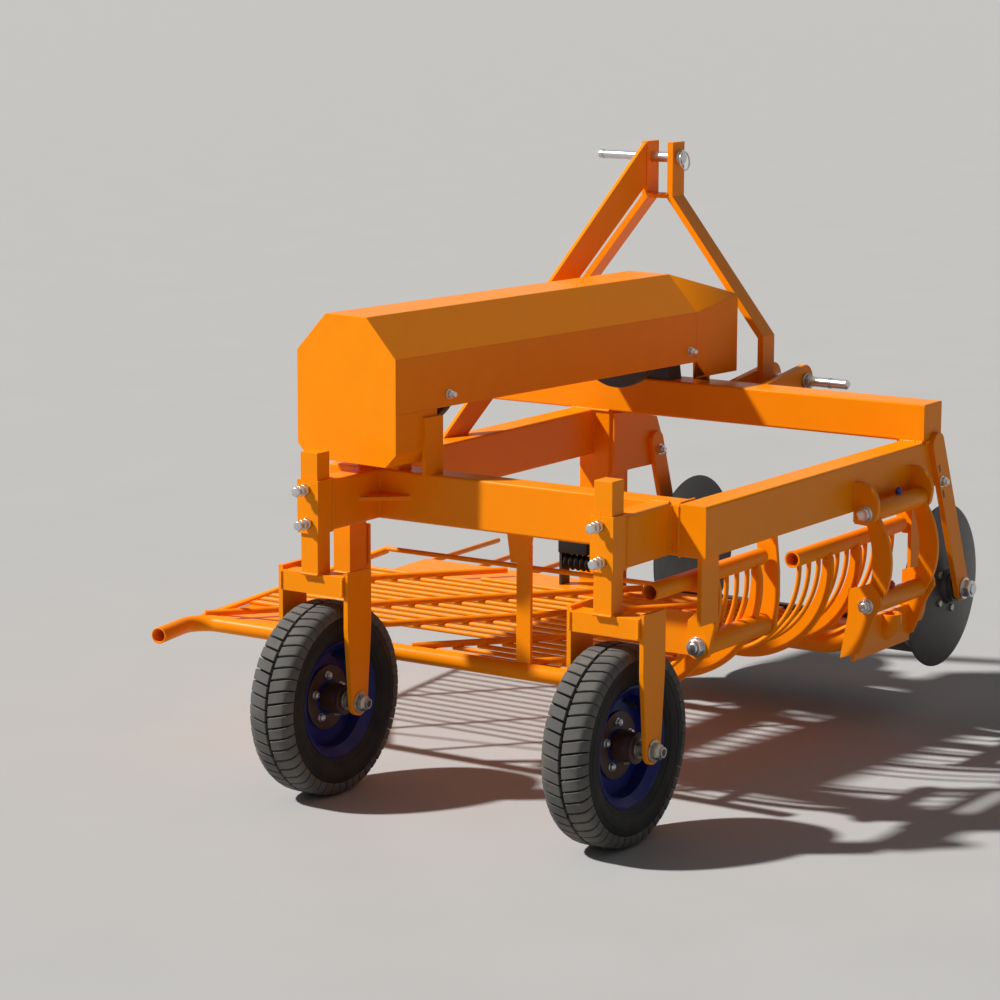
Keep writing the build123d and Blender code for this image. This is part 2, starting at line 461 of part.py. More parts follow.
rails = [rod_y(y0, y1, x, z, RAIL_D) for x, z, y0, y1 in RAILS]
rods = [bar - rod_y(y0 - 1, y1 + 1, x, z, RAIL_D - 2 * RAIL_WALL) for bar, (x, z, y0, y1) in zip(rails, RAILS)]
for i in range(int((LAST_ROD - FIRST_ROD) / ROD_PITCH) + 1):
    y = FIRST_ROD + i * ROD_PITCH
    held = [rail for rail in RAILS if rail[2] < y < rail[3]]
    if held:
        rods.append(curved_rod(y, held[0][0], held[0][1] - RAIL_D / 2 + 2))
    else:
        rods.append(rod_x(rod_start(y), BEARER_X + BEARER_T, y, GRATE_Z, ROD_D))
tie_z = GRATE_Z + ROD_D / 2 + TIE_D / 2 - 2
for x, y in TIE_STARTS:
    reach = min((TIE_FRONT - y) / cos(radians(TIE_TURN)), (BEARER_X - x) / sin(radians(TIE_TURN)))
    rods.append(Pos(x, y, tie_z) * Rot(0, 0, -TIE_TURN) * rod_y(0, reach, 0, 0, TIE_D))
edge_len = hypot(EDGE_FRONT[0] - EDGE_REAR[0], EDGE_FRONT[1] - EDGE_REAR[1])
edge_turn = degrees(atan2(EDGE_REAR[0] - EDGE_FRONT[0], EDGE_FRONT[1] - EDGE_REAR[1]))
edge_rod = Pos(EDGE_REAR[0], EDGE_REAR[1], GRATE_Z) * Rot(0, 0, edge_turn) * rod_y(20, edge_len, 0, 0, EDGE_D)
rods.append(edge_rod)
rods.append(block(BEARER_X, BEARER_X + BEARER_T, REAR_TUBE_Y, BEARER_FRONT, UNDER - BEARER_H + 1, UNDER + 1))
pivot_tube = rod_y(PIVOT_REAR, PIVOT_FRONT, PIVOT_X, PIVOT_Z, PIVOT_TUBE_D)
keep("grate_rods", rods[0].fuse(*rods[1:]) - rear_bar - front_bar - pivot_tube)

keep("grate_end_sheet", plate_xy([(edge_x(90) + 9, 90), (edge_x(286) + 9, 286), (FRAME_LEFT - 347, 290),
                                  (FRAME_LEFT - 202, 90)], UNDER - SHEET, UNDER))
apron = plate_xy(APRON, UNDER - SHEET, UNDER)
for x0, y0, x1, y1 in FINGERS:
    # finger under the plate that reaches past its front edge
    turn = degrees(atan2(x0 - x1, y1 - y0))
    finger = rod_y(0, hypot(x1 - x0, y1 - y0), 0, 0, FINGER_D)
    apron += Pos(x0, y0, UNDER - SHEET - FINGER_D / 2 + 1) * Rot(0, 0, turn) * finger
keep("grate_apron", apron)

# tube that turns on the pivot pin under the right side beam, with its end plate
tube = pivot_tube + plate_xz([(PIVOT_X - 85, 320), (PIVOT_X + 14, 320), (PIVOT_X + 20, 345),
                              (PIVOT_X + 12, 400), (PIVOT_X - 85, 404)], PIVOT_REAR, PIVOT_REAR + 8)
keep("grate_pivot_tube", tube - rod_y(PIVOT_REAR - 1, PIVOT_FRONT + 1, PIVOT_X, PIVOT_Z,
                                      PIVOT_PIN_D + 2 * RUNNING))

# crescent ribs between the rods, from the bearer under the bed up to the rail
for name, y, rail in RIBS:
    x, z = RAILS[rail][:2]
    cx, cz = x - SIDE_BEND, GRATE_Z + SIDE_BEND
    outer_r = SIDE_BEND + RIB_DEPTH
    with BuildSketch(Plane((0, y + RIB_T / 2, 0), x_dir=(1, 0, 0), z_dir=(0, -1, 0))) as rib:
        with BuildLine():
            foot = Polyline((cx, cz - outer_r), (BEARER_X + BEARER_T, cz - outer_r),
                            (BEARER_X + BEARER_T, UNDER), (cx, cz - SIDE_BEND))
            inner = RadiusArc(foot @ 1, (x, cz), -SIDE_BEND)
            head = Polyline(inner @ 1, (x, z), (x + 14, z), (x + 22, cz + 6))
            ThreePointArc(head @ 1, (cx + outer_r * cos(radians(38)), cz - outer_r * sin(radians(38))), foot @ 0)
        make_face()
    keep(f"grate_rib_{name}", extrude(rib.sketch, RIB_T) - rails[rail] - pivot_tube)

# round bar across the bed's rear, up from the left edge and level to the right side
with BuildLine() as path:
    Polyline((edge_x(TOP_BAR_Y), TOP_BAR_Y, GRATE_Z), (TOP_BAR_KNEE, TOP_BAR_Y, TOP_BAR_Z),
             (RAILS[0][0], TOP_BAR_Y, TOP_BAR_Z))
top_bar = sweep(Plane(path.line @ 0, z_dir=path.line % 0) * Circle(ROD_D / 2), path=path.line,
                transition=Transition.RIGHT)
keep("grate_top_bar", top_bar - edge_rod)

# straps on the rear tube, beside the rear beam's guide brackets
for name, x in STRAPS:
    strap = block(x - STRAP_W / 2, x + STRAP_W / 2, REAR_TUBE_Y - STRAP_T / 2, REAR_TUBE_Y + STRAP_T / 2,
                  REAR_TUBE_Z, STRAP_TOP)
    keep(f"grate_strap_{name}", strap - rear_bar)

# hangers under the right side beam and the pivot pin between them
pin_rear, pin_front = PIVOT_REAR - FREE - CHEEK_T, PIVOT_FRONT + FREE + CHEEK_T
eye = PIVOT_TUBE_D / 2 + 4
outer = HANGER_X + HANGER_T
for name, y, left, right in (
        ("rear", pin_rear, ((680, 392), (HANGER_X - 16, 428)), ((outer, 436), (outer, 396))),
        ("front", pin_front - CHEEK_T, ((686, 388), (692, 434), (683, 500), (688, FRAME_UNDER)),
         ((724, FRAME_UNDER), (732, 450), (733, 400)))):
    with BuildSketch(Plane((0, y + CHEEK_T, 0), x_dir=(1, 0, 0), z_dir=(0, -1, 0))) as hanger:
        with BuildLine():
            a = Polyline((PIVOT_X - eye, PIVOT_Z), *left, *right, (PIVOT_X + eye, PIVOT_Z))
            RadiusArc(a @ 1, a @ 0, eye)
        make_face()
        with Locations((PIVOT_X, PIVOT_Z)):
            Circle(PIVOT_PIN_D / 2, mode=Mode.SUBTRACT)
    plate = extrude(hanger.sketch, CHEEK_T)
    if name == "rear":
        plate += block(HANGER_X, outer, HANGER_REAR, y + CHEEK_T, 396, FRAME_UNDER)
    keep(f"grate_hanger_{name}", plate)
keep("grate_pivot_pin", rod_y(pin_rear - 12, pin_front + 12, PIVOT_X, PIVOT_Z, PIVOT_PIN_D))

# bracket on the front tube that holds the rocker's lower bolt
lower_rear, lower_front = LUG_REAR_Y + 17 - FREE - 8, LUG_FRONT_Y - 5 + FREE
web = block(756, 764, lower_rear, lower_front + 8, 222, 300)
for y in (lower_rear, lower_front):
    web += plate_xz([(732, 226), (748, 318), (748, 371), (778, 379), (797, 388), (820, 360), (822, 345),
                     (806, 318), (774, 240)], y, y + 8)
web -= rod_y(lower_rear - 1, lower_front + 9, EYE_X, EYE_Z, ROCKER_BOLT_D)
keep("grate_front_bracket", web - front_bar)
keep("rocker_lower_bolt", rod_y(lower_rear - 14, lower_front + 20, EYE_X, EYE_Z, ROCKER_BOLT_D))

# ================================================================ rocker
keep("rocker_bolt", rod_y(LUG_REAR_Y - 12, LUG_FRONT_Y + 24, ROCKER_X, ROCKER_Z, ROCKER_BOLT_D))
rocker = rod_y(LUG_REAR_Y + ROCKER_LUG_T + 1, LUG_FRONT_Y - 1, ROCKER_X, ROCKER_Z, 40)
rocker += rod_y(LUG_REAR_Y + 20, LUG_FRONT_Y - 8, EYE_X, EYE_Z, 40)
for y in (LUG_REAR_Y + 17, LUG_FRONT_Y - 15):
    with BuildSketch(Plane((0, y + CHEEK_T, 0), x_dir=(1, 0, 0), z_dir=(0, -1, 0))) as arm:
        with BuildLine():
            a = ThreePointArc((ROCKER_X + 18, ROCKER_Z - 7), (EYE_X + 44, 440), (EYE_X + 18, EYE_Z - 5))
            b = Line(a @ 1, (EYE_X - 15, EYE_Z - 8))
            c = ThreePointArc(b @ 1, (EYE_X + 3, 440), (ROCKER_X - 12, ROCKER_Z - 12))
            Line(c @ 1, a @ 0)
        make_face()
    rocker += extrude(arm.sketch, CHEEK_T)
rocker -= rod_y(LUG_REAR_Y, LUG_FRONT_Y + 5, ROCKER_X, ROCKER_Z, ROCKER_BOLT_D + 2 * RUNNING)
keep("rocker", rocker - rod_y(LUG_REAR_Y, LUG_FRONT_Y + 5, EYE_X, EYE_Z, ROCKER_BOLT_D + 16))

# ================================================================ disc coulters
dish_r = (DISC_R ** 2 + DISC_DISH ** 2) / (2 * DISC_DISH)
bore_r = DISC_AXLE_D / 2 + RUNNING
with BuildSketch() as section:
    with BuildLine():
        a = RadiusArc((DISC_R, 0), (bore_r, DISC_DISH), -dish_r)
        b = Line(a @ 1, (bore_r, DISC_DISH + DISC_T))
        c = RadiusArc(b @ 1, (DISC_R, 1), dish_r)
        Line(c @ 1, a @ 0)
    make_face()
dish = Rot(0, 0, -90) * revolve(section.sketch, Axis.Y)
dish += rod_x(DISC_DISH + 1, DISC_OFFSET - FREE + 1, 0, 0, 2 * DISC_HUB_R) - rod_x(0, 60, 0, 0, 2 * bore_r)
# name, sign, arm's inner face, arm's top and axle
for name, sign, face_x, (top, axle) in (
        ("right", 1, FRAME_RIGHT, ARM_RIGHT),
        ("left", -1, leg_right + SIDE_PLATE + DISC_ARM_T, ARM_LEFT)):
    length = hypot(axle[0] - top[0], axle[1] - top[1])
    lean = degrees(atan2(axle[0] - top[0], top[1] - axle[1]))
    arm = Plane((0, (top[0] + axle[0]) / 2, (top[1] + axle[1]) / 2), x_dir=(0, 1, 0), z_dir=(1, 0, 0)) * (
        Rot(0, 0, lean) * extrude(SlotOverall(length + DISC_ARM_W, DISC_ARM_W, rotation=90), DISC_ARM_T))
    arm = Pos(face_x if sign > 0 else face_x - DISC_ARM_T, 0, 0) * arm
    at = Pos(face_x, axle[0], axle[1])
    pin = at * from_right(rod_x(-DISC_OFFSET - 12, DISC_ARM_T + 24, 0, 0, DISC_AXLE_D), sign)
    keep(f"disc_axle_{name}", pin)
    keep(f"disc_arm_{name}", arm - pin)
    keep(f"disc_{name}", at * from_right(Pos(-DISC_OFFSET, 0, 0) * dish, sign))

# ================================================================ share and what carries it
carrier = tube_box(leg_right, CARRIER_RIGHT, CARRIER_Y, CARRIER_Y + CARRIER,
                   CARRIER_Z, CARRIER_Z + CARRIER, BEAM_WALL, Axis.X)
carrier += block(STAND_X - STAND / 2, STAND_X + STAND / 2, CARRIER_Y - STAND, CARRIER_Y, 4, CARRIER_Z + 50)
carrier += block(STAND_X - FOOT / 2, STAND_X + FOOT / 2, CARRIER_Y - 65, CARRIER_Y + 15, 0, 8)
keep("share_carrier", carrier)
face_y = CARRIER_Y + CARRIER
keep("share", plate_yz([(face_y, SHARE_TOP), (face_y + 17, SHARE_TOP), (SHARE_TIP, SHARE_TIP_Z + 2),
                        (SHARE_TIP - 2, SHARE_TIP_Z), (SHARE_TIP - 19, SHARE_TIP_Z),
                        (face_y + SHARE_T, SHARE_TOP - 12), (face_y + SHARE_T, CARRIER_Z + 8),
                        (face_y, CARRIER_Z + 8)], SHARE_LEFT, SHARE_RIGHT))

# rolled plate from the right side beam down and in under the carrier's end, clear of the disc
low = CARRIER_Z + 14
with BuildSketch(Plane((0, CHEEK_FRONT, 0), x_dir=(1, 0, 0), z_dir=(0, -1, 0))) as roll:
    with BuildLine():
        x, r = CHEEK_X, CHEEK_BEND
        a = Polyline((x, low + r), (x, FRAME_UNDER), (x - 8, FRAME_UNDER), (x - 8, low + r))
        b = RadiusArc(a @ 1, (x - r, low + 8), r - 8)
        c = Line(b @ 1, (x - r, low))
        RadiusArc(c @ 1, a @ 0, -r)
    make_face()
cheek = extrude(roll.sketch, CHEEK_FRONT - CHEEK_REAR)
cheek -= rod_x(CARRIER_RIGHT - 20, CHEEK_X - 9, *ARM_RIGHT[1], 2 * (DISC_R + 8))
cheek += plate_xz([(CHEEK_X - 7, FRAME_UNDER), (706, FRAME_UNDER), (706, 500), (730, 442), (CHEEK_X - 7, 442)],
                  CHEEK_REAR, CHEEK_REAR + 8)
keep("share_leg", cheek)

# ================================================================ home the origin and write the files
whole = Compound(list(NODES.values())).bounding_box()
home = Location((-(whole.min.X + whole.max.X) / 2, -(whole.min.Y + whole.max.Y) / 2, -whole.min.Z))
os.makedirs("parts", exist_ok=True)
for name, shape in NODES.items():
    export_step(home * shape, f"parts/{name}.step")
print("home", home.position, "size", whole.size, len(NODES), "nodes")
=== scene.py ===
# %% [markdown]
# # A potato digger, finished in Blender
# The machine's frame, wheels, hitch, drive and shaking grate arrive as a finished engineering model.
# This lesson gives it what a workshop adds: powder coat, rubber, zinc, welds, bolts and tyre tread.
# We load the model first, because every later size and place is read from it.

# %% Load the frame
import json
from math import cos, pi, radians, sin

import bmesh
import bpy
from mathutils import Matrix, Vector


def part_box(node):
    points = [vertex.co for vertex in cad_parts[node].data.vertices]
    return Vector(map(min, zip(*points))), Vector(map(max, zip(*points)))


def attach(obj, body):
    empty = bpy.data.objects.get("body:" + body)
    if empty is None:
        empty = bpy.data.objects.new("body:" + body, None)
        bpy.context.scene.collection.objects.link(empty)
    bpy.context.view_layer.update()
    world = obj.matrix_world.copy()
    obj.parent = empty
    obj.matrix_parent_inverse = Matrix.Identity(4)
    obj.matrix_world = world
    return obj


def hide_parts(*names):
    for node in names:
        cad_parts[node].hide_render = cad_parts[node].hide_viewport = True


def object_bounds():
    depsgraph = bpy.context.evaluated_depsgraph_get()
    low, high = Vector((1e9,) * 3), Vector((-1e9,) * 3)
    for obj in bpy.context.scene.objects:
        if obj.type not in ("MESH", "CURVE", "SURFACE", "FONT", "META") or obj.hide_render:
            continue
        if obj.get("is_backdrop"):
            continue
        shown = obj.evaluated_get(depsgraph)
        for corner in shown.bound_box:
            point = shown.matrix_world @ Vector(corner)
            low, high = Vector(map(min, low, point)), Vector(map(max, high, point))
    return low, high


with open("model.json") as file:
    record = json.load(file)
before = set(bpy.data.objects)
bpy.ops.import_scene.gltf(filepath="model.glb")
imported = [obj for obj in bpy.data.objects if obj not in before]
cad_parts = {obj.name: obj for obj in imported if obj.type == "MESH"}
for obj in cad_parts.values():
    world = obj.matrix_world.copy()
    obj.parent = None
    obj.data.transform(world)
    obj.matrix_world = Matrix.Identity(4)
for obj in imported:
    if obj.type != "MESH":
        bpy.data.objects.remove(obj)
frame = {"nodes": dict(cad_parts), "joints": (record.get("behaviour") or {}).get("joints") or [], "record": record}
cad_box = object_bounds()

joints = {joint["name"]: joint for joint in frame["joints"]}
scene = bpy.context.scene

# %% [markdown]
# ## Where things are
# On the real machine every distance is taken from the rear face of the frame, the tractor's centre
# plane and the ground. The same zero is handy here, so we find it from the left side beam, and a small
# helper turns millimetres on the machine into the scene's metres.

# %% The machine's own zero
BEAM_LEFT, BEAM_REAR = 111, 60          # the left beam's outer face and rear end, mm
low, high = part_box("left_side_beam")
zero = Vector((low[0] + BEAM_LEFT / 1000, low[1] - BEAM_REAR / 1000, 0))


def at(x, y, z):
    """A place on the machine, from millimetres to the scene's metres."""
    return zero + Vector((x, y, z)) / 1000


print("zero", tuple(round(v, 4) for v in zero))

# %% Along the drive guard
drive_axis = Vector(joints["drive_spin"]["axis"]).normalized()
drive_side = drive_axis.cross(Vector((0, 0, 1)))
GUARD_CAP = (-7, -85, 0)                # the middle of the guard's rear end, on the ground


def on_guard(along, side, z):
    """A place on the drive guard: along it from its rear cap, to its right side and up, mm."""
    start = at(*GUARD_CAP) + drive_axis * (along / 1000)
    return start + drive_side * (side / 1000) + Vector((0, 0, z / 1000))


print("guard runs", tuple(round(v, 3) for v in drive_axis))

# %% [markdown]
# ## Camera, floor and light
# A long lens a few metres behind the machine's right corner shows it as a visitor in the yard would.
# The light comes from one side, high at the left rear, so the rear faces and tops glow and the right
# sides fall into warm shade. An area lamp would fade over a floor this large, so a broad sun lamp is
# the key, with a dim sky filling in. The floor is plain and pale. Where it ends, the camera and bright
# metal see a backdrop of much the same shade, and the dim sky alone goes on lighting the machine.

# %% Camera
AZIMUTH, PITCH, ROLL = 33.66, -10.27, 0.17      # degrees
LENS, SENSOR = 120.1, 36.0
camera_data = bpy.data.cameras.new("camera")
camera_data.lens, camera_data.sensor_width = LENS, SENSOR
camera_data.clip_end = 100
camera = bpy.data.objects.new("camera", camera_data)
camera.matrix_world = (
    Matrix.Translation(at(3822.7, -5291.4, 1748.1)) @ Matrix.Rotation(radians(AZIMUTH), 4, "Z")
    @ Matrix.Rotation(radians(90 + PITCH), 4, "X") @ Matrix.Rotation(radians(ROLL), 4, "Z"))
scene.collection.objects.link(camera)
scene.camera = camera
scene.view_settings.view_transform = "Standard"
print("camera", tuple(round(v, 2) for v in camera.location))

# %% Key lamp
KEY_POWER, KEY_SPREAD = 4.7, 3          # the spread in degrees
KEY_FROM = Vector((-0.56, -0.41, 0.72))
key_data = bpy.data.lights.new("key", "SUN")
key_data.energy, key_data.angle, key_data.color = KEY_POWER, radians(KEY_SPREAD), (1.0, 0.975, 0.94)
key = bpy.data.objects.new("key", key_data)
key.rotation_euler = KEY_FROM.to_track_quat("Z", "Y").to_euler()
scene.collection.objects.link(key)
print("key", KEY_POWER, "from", tuple(KEY_FROM))

# %% Two helpers for shader nodes


def node(tree, kind, **values):
    """A node with its properties and input values set by name; an underscore stands for a space."""
    made = tree.nodes.new(kind)
    for key, value in values.items():
        if hasattr(made, key) and key not in made.inputs:
            setattr(made, key, value)
        else:
            made.inputs[key.replace("_", " ")].default_value = value
    return made


def maths(tree, operation, a, b, clamp=False):
    """A Math node fed by sockets or plain numbers; returns its output."""
    made = node(tree, "ShaderNodeMath", operation=operation, use_clamp=clamp)
    for socket, value in zip(made.inputs, (a, b)):
        if isinstance(value, (int, float)):
            socket.default_value = value
        else:
            tree.links.new(value, socket)
    return made.outputs[0]


# %% Dim sky, and a backdrop for the camera and bright metal
SKY_STRENGTH = 0.12
world = bpy.data.worlds.new("world")
world.use_nodes = True
scene.world = world
tree = world.node_tree
sky = tree.nodes["Background"]
sky.inputs["Color"].default_value = (0.88, 0.92, 0.98, 1)
sky.inputs["Strength"].default_value = SKY_STRENGTH
backdrop = node(tree, "ShaderNodeBackground", Color=(0.54, 0.54, 0.53, 1))
rays = tree.nodes.new("ShaderNodeLightPath")
seen = maths(tree, "MAXIMUM", rays.outputs["Is Camera Ray"], rays.outputs["Is Glossy Ray"])
seen = maths(tree, "MAXIMUM", seen, rays.outputs["Is Transmission Ray"])
shown = tree.nodes.new("ShaderNodeMixShader")
tree.links.new(seen, shown.inputs[0])
tree.links.new(sky.outputs[0], shown.inputs[1])
tree.links.new(backdrop.outputs[0], shown.inputs[2])
tree.links.new(shown.outputs[0], tree.nodes["World Output"].inputs["Surface"])
print("sky", SKY_STRENGTH)

# %% Floor
FLOOR_HALF = 90                         # metres
bm = bmesh.new()
bmesh.ops.create_grid(bm, x_segments=1, y_segments=1, size=FLOOR_HALF)
floor_mesh = bpy.data.meshes.new("floor")
bm.to_mesh(floor_mesh)
bm.free()
floor = bpy.data.objects.new("floor", floor_mesh)
scene.collection.objects.link(floor)
floor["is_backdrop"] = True
print("floor", 2 * FLOOR_HALF, "m wide")

# %% [markdown]
# ## Shader groups
# Three effects turn up in nearly every finish: edges that catch light where the coat has worn or
# pulled thin, a fine unevenness of the surface, and dust that has settled low down. Each is built once
# as a node group with named inputs, and every material that needs it gets its own values.

# %% Helpers for node groups


def new_group(name, ins, outs):
    """A shader group with sockets given as (name, default) in and names out, all plain numbers."""
    group = bpy.data.node_groups.new(name, "ShaderNodeTree")
    for label, default in ins:
        socket = group.interface.new_socket(label, in_out="INPUT", socket_type="NodeSocketFloat")
        socket.default_value = default
    for label in outs:
        group.interface.new_socket(label, in_out="OUTPUT", socket_type="NodeSocketFloat")
    return group, group.nodes.new("NodeGroupInput"), group.nodes.new("NodeGroupOutput")


def ramp(tree, value, low, high):
    """Maps a value from low..high to 0..1, smoothly."""
    made = node(tree, "ShaderNodeMapRange", interpolation_type="SMOOTHSTEP", From_Min=low, From_Max=high)
    tree.links.new(value, made.inputs["Value"])
    return made.outputs[0]


# %% Edge wear: a mask of edges, broken up by noise
wear_group, group_in, group_out = new_group(
    "edge wear", (("Radius", 0.002), ("Scale", 60.0), ("Amount", 0.5)), ("Mask",))
links = wear_group.links
rounded = node(wear_group, "ShaderNodeBevel", samples=4)
links.new(group_in.outputs["Radius"], rounded.inputs["Radius"])
shape = wear_group.nodes.new("ShaderNodeNewGeometry")
facing = node(wear_group, "ShaderNodeVectorMath", operation="DOT_PRODUCT")
links.new(rounded.outputs[0], facing.inputs[0])
links.new(shape.outputs["Normal"], facing.inputs[1])
edge = ramp(wear_group, maths(wear_group, "SUBTRACT", 1.0, facing.outputs["Value"]), 0.02, 0.22)
coords = wear_group.nodes.new("ShaderNodeTexCoord")
patches = node(wear_group, "ShaderNodeTexNoise", Detail=5.0, Roughness=0.6)
links.new(coords.outputs["Object"], patches.inputs["Vector"])
links.new(group_in.outputs["Scale"], patches.inputs["Scale"])
broken = ramp(wear_group, patches.outputs["Fac"], 0.45, 0.68)
worn = maths(wear_group, "MULTIPLY", edge, broken)
mask = maths(wear_group, "MULTIPLY", worn, group_in.outputs["Amount"], clamp=True)
links.new(mask, group_out.inputs["Mask"])
print("group", wear_group.name)

# %% Fine grain: a height for bump, from a fine and a coarse noise
grain_group, group_in, group_out = new_group(
    "surface grain", (("Fine", 900.0), ("Coarse", 40.0), ("Coarse Share", 0.5)), ("Height", "Patches"))
links = grain_group.links
coords = grain_group.nodes.new("ShaderNodeTexCoord")
fine = node(grain_group, "ShaderNodeTexNoise", Detail=2.0)
coarse = node(grain_group, "ShaderNodeTexNoise", Detail=4.0)
for noise, label in ((fine, "Fine"), (coarse, "Coarse")):
    links.new(coords.outputs["Object"], noise.inputs["Vector"])
    links.new(group_in.outputs[label], noise.inputs["Scale"])
waves = maths(grain_group, "MULTIPLY", coarse.outputs["Fac"], group_in.outputs["Coarse Share"])
links.new(maths(grain_group, "ADD", fine.outputs["Fac"], waves), group_out.inputs["Height"])
links.new(coarse.outputs["Fac"], group_out.inputs["Patches"])
print("group", grain_group.name)

# %% Dust: thick near the ground and on faces that look up, thin elsewhere
dust_group, group_in, group_out = new_group(
    "yard dust", (("Low", 0.0), ("High", 0.5), ("Amount", 0.4), ("On Tops", 0.2)), ("Mask",))
links = dust_group.links
coords = dust_group.nodes.new("ShaderNodeTexCoord")
split = dust_group.nodes.new("ShaderNodeSeparateXYZ")
links.new(coords.outputs["Object"], split.inputs[0])
height = dust_group.nodes.new("ShaderNodeMapRange")
for label, socket in (("From Min", "High"), ("From Max", "Low")):
    links.new(group_in.outputs[socket], height.inputs[label])
links.new(split.outputs["Z"], height.inputs["Value"])
shape = dust_group.nodes.new("ShaderNodeNewGeometry")
normal = dust_group.nodes.new("ShaderNodeSeparateXYZ")
links.new(shape.outputs["Normal"], normal.inputs[0])
looks_up = ramp(dust_group, normal.outputs["Z"], 0.4, 0.95)
tops = maths(dust_group, "MULTIPLY", looks_up, group_in.outputs["On Tops"])
clouds = node(dust_group, "ShaderNodeTexNoise", Scale=14.0, Detail=6.0, Roughness=0.65)
links.new(coords.outputs["Object"], clouds.inputs["Vector"])
amount = maths(dust_group, "MULTIPLY", height.outputs[0], group_in.outputs["Amount"])
cloudy = ramp(dust_group, clouds.outputs["Fac"], 0.32, 0.7)
total = maths(dust_group, "MULTIPLY", maths(dust_group, "ADD", amount, tops), cloudy, clamp=True)
links.new(total, group_out.inputs["Mask"])
print("group", dust_group.name)

# %% [markdown]
# ## Materials
# One function makes every finish, because they differ in values and not in build: a base colour that
# drifts a little in patches, worn edges of a second colour, dust over both, roughness and a bump.
# The values are what matters, and they are listed finish by finish.

# %% One coat laid over another


def laid_over(tree, under, mask, colour, rough):
    """A colour and its roughness over the (colour, roughness) sockets of what lies under, by a mask."""
    base, gloss = under
    mix = node(tree, "ShaderNodeMix", data_type="RGBA")
    tree.links.new(mask, mix.inputs["Factor"])
    tree.links.new(base, mix.inputs["A"])
    mix.inputs["B"].default_value = (*colour, 1)
    rest = maths(tree, "MULTIPLY", gloss, maths(tree, "SUBTRACT", 1.0, mask))
    return mix.outputs["Result"], maths(tree, "ADD", rest, maths(tree, "MULTIPLY", mask, rough))


# %% The finish builder
WORN_ROUGH, SPOT_ROUGH, DUST_ROUGH = 0.45, 0.6, 0.85
DUST_COLOUR = (0.36, 0.31, 0.25)
BUMP_DEPTH = 0.002


def finish(name, colour, rough, second=None, wear=0.0, wear_scale=60.0, radius=0.002, drift=0.12, dust=0.0,
           dust_top=0.0, dust_high=0.5, fine=900.0, coarse=40.0, bump=0.02, metal=0.0, shine=0.5, spots=None):
    """A procedural material; second colours its worn edges, and spots are (colour, scale, low, high)."""
    mat = bpy.data.materials.new(name)
    mat.use_nodes = True
    tree = mat.node_tree
    shader = tree.nodes["Principled BSDF"]
    shader.inputs["Metallic"].default_value = metal
    shader.inputs["Specular IOR Level"].default_value = shine
    grain = node(tree, "ShaderNodeGroup", node_tree=grain_group, Fine=fine, Coarse=coarse)
    tint = node(tree, "ShaderNodeMix", data_type="RGBA")
    tint.inputs["A"].default_value = (*[c * (1 - drift) for c in colour], 1)
    tint.inputs["B"].default_value = (*[min(1, c * (1 + drift)) for c in colour], 1)
    tree.links.new(grain.outputs["Patches"], tint.inputs["Factor"])
    gloss = maths(tree, "ADD", maths(tree, "MULTIPLY", grain.outputs["Patches"], rough * 0.5), rough * 0.75)
    surface = tint.outputs["Result"], gloss
    if second is not None:
        edges = node(tree, "ShaderNodeGroup", node_tree=wear_group, Radius=radius, Scale=wear_scale,
                     Amount=wear)
        surface = laid_over(tree, surface, edges.outputs["Mask"], second, WORN_ROUGH)
    if spots is not None:
        spot_colour, scale, low, high = spots
        flecks = node(tree, "ShaderNodeTexNoise", Scale=scale, Detail=3.0)
        coords = tree.nodes.new("ShaderNodeTexCoord")
        tree.links.new(coords.outputs["Object"], flecks.inputs["Vector"])
        spotted = ramp(tree, flecks.outputs["Fac"], low, high)
        surface = laid_over(tree, surface, spotted, spot_colour, SPOT_ROUGH)
    if dust or dust_top:
        dirt = node(tree, "ShaderNodeGroup", node_tree=dust_group, High=dust_high, Amount=dust,
                    On_Tops=dust_top)
        surface = laid_over(tree, surface, dirt.outputs["Mask"], DUST_COLOUR, DUST_ROUGH)
    tree.links.new(surface[0], shader.inputs["Base Color"])
    tree.links.new(surface[1], shader.inputs["Roughness"])
    height = node(tree, "ShaderNodeBump", Strength=bump, Distance=BUMP_DEPTH)
    tree.links.new(grain.outputs["Height"], height.inputs["Height"])
    tree.links.new(height.outputs["Normal"], shader.inputs["Normal"])
    return mat


# %% Paints
orange = finish("orange powder coat", (0.98, 0.278, 0.001), 0.36, second=(1.0, 0.42, 0.08), wear=0.5,
                wear_scale=90, drift=0.05, dust=0.05, dust_high=0.25, fine=650, coarse=22, bump=0.04,
                shine=0.12)
blue = finish("blue rim paint", (0.006, 0.012, 0.15), 0.36, second=(0.12, 0.14, 0.3), wear=0.6, drift=0.2,
              dust=0.1, dust_high=0.3, bump=0.05, shine=0.2)
brown = finish("hub primer", (0.045, 0.011, 0.006), 0.5, second=(0.22, 0.09, 0.05), wear=0.6, drift=0.25,
               dust=0.3, dust_high=0.3, bump=0.12)
black = finish("black steel", (0.022, 0.022, 0.023), 0.42, second=(0.12, 0.12, 0.125), wear=0.7, drift=0.3,
               dust=0.2, dust_high=0.4, coarse=60, bump=0.08)
iron = finish("cast iron", (0.03, 0.03, 0.032), 0.55, second=(0.1, 0.1, 0.1), wear=0.5, drift=0.25,
              fine=420, bump=0.3)
print("paints", [mat.name for mat in (orange, blue, brown, black, iron)])

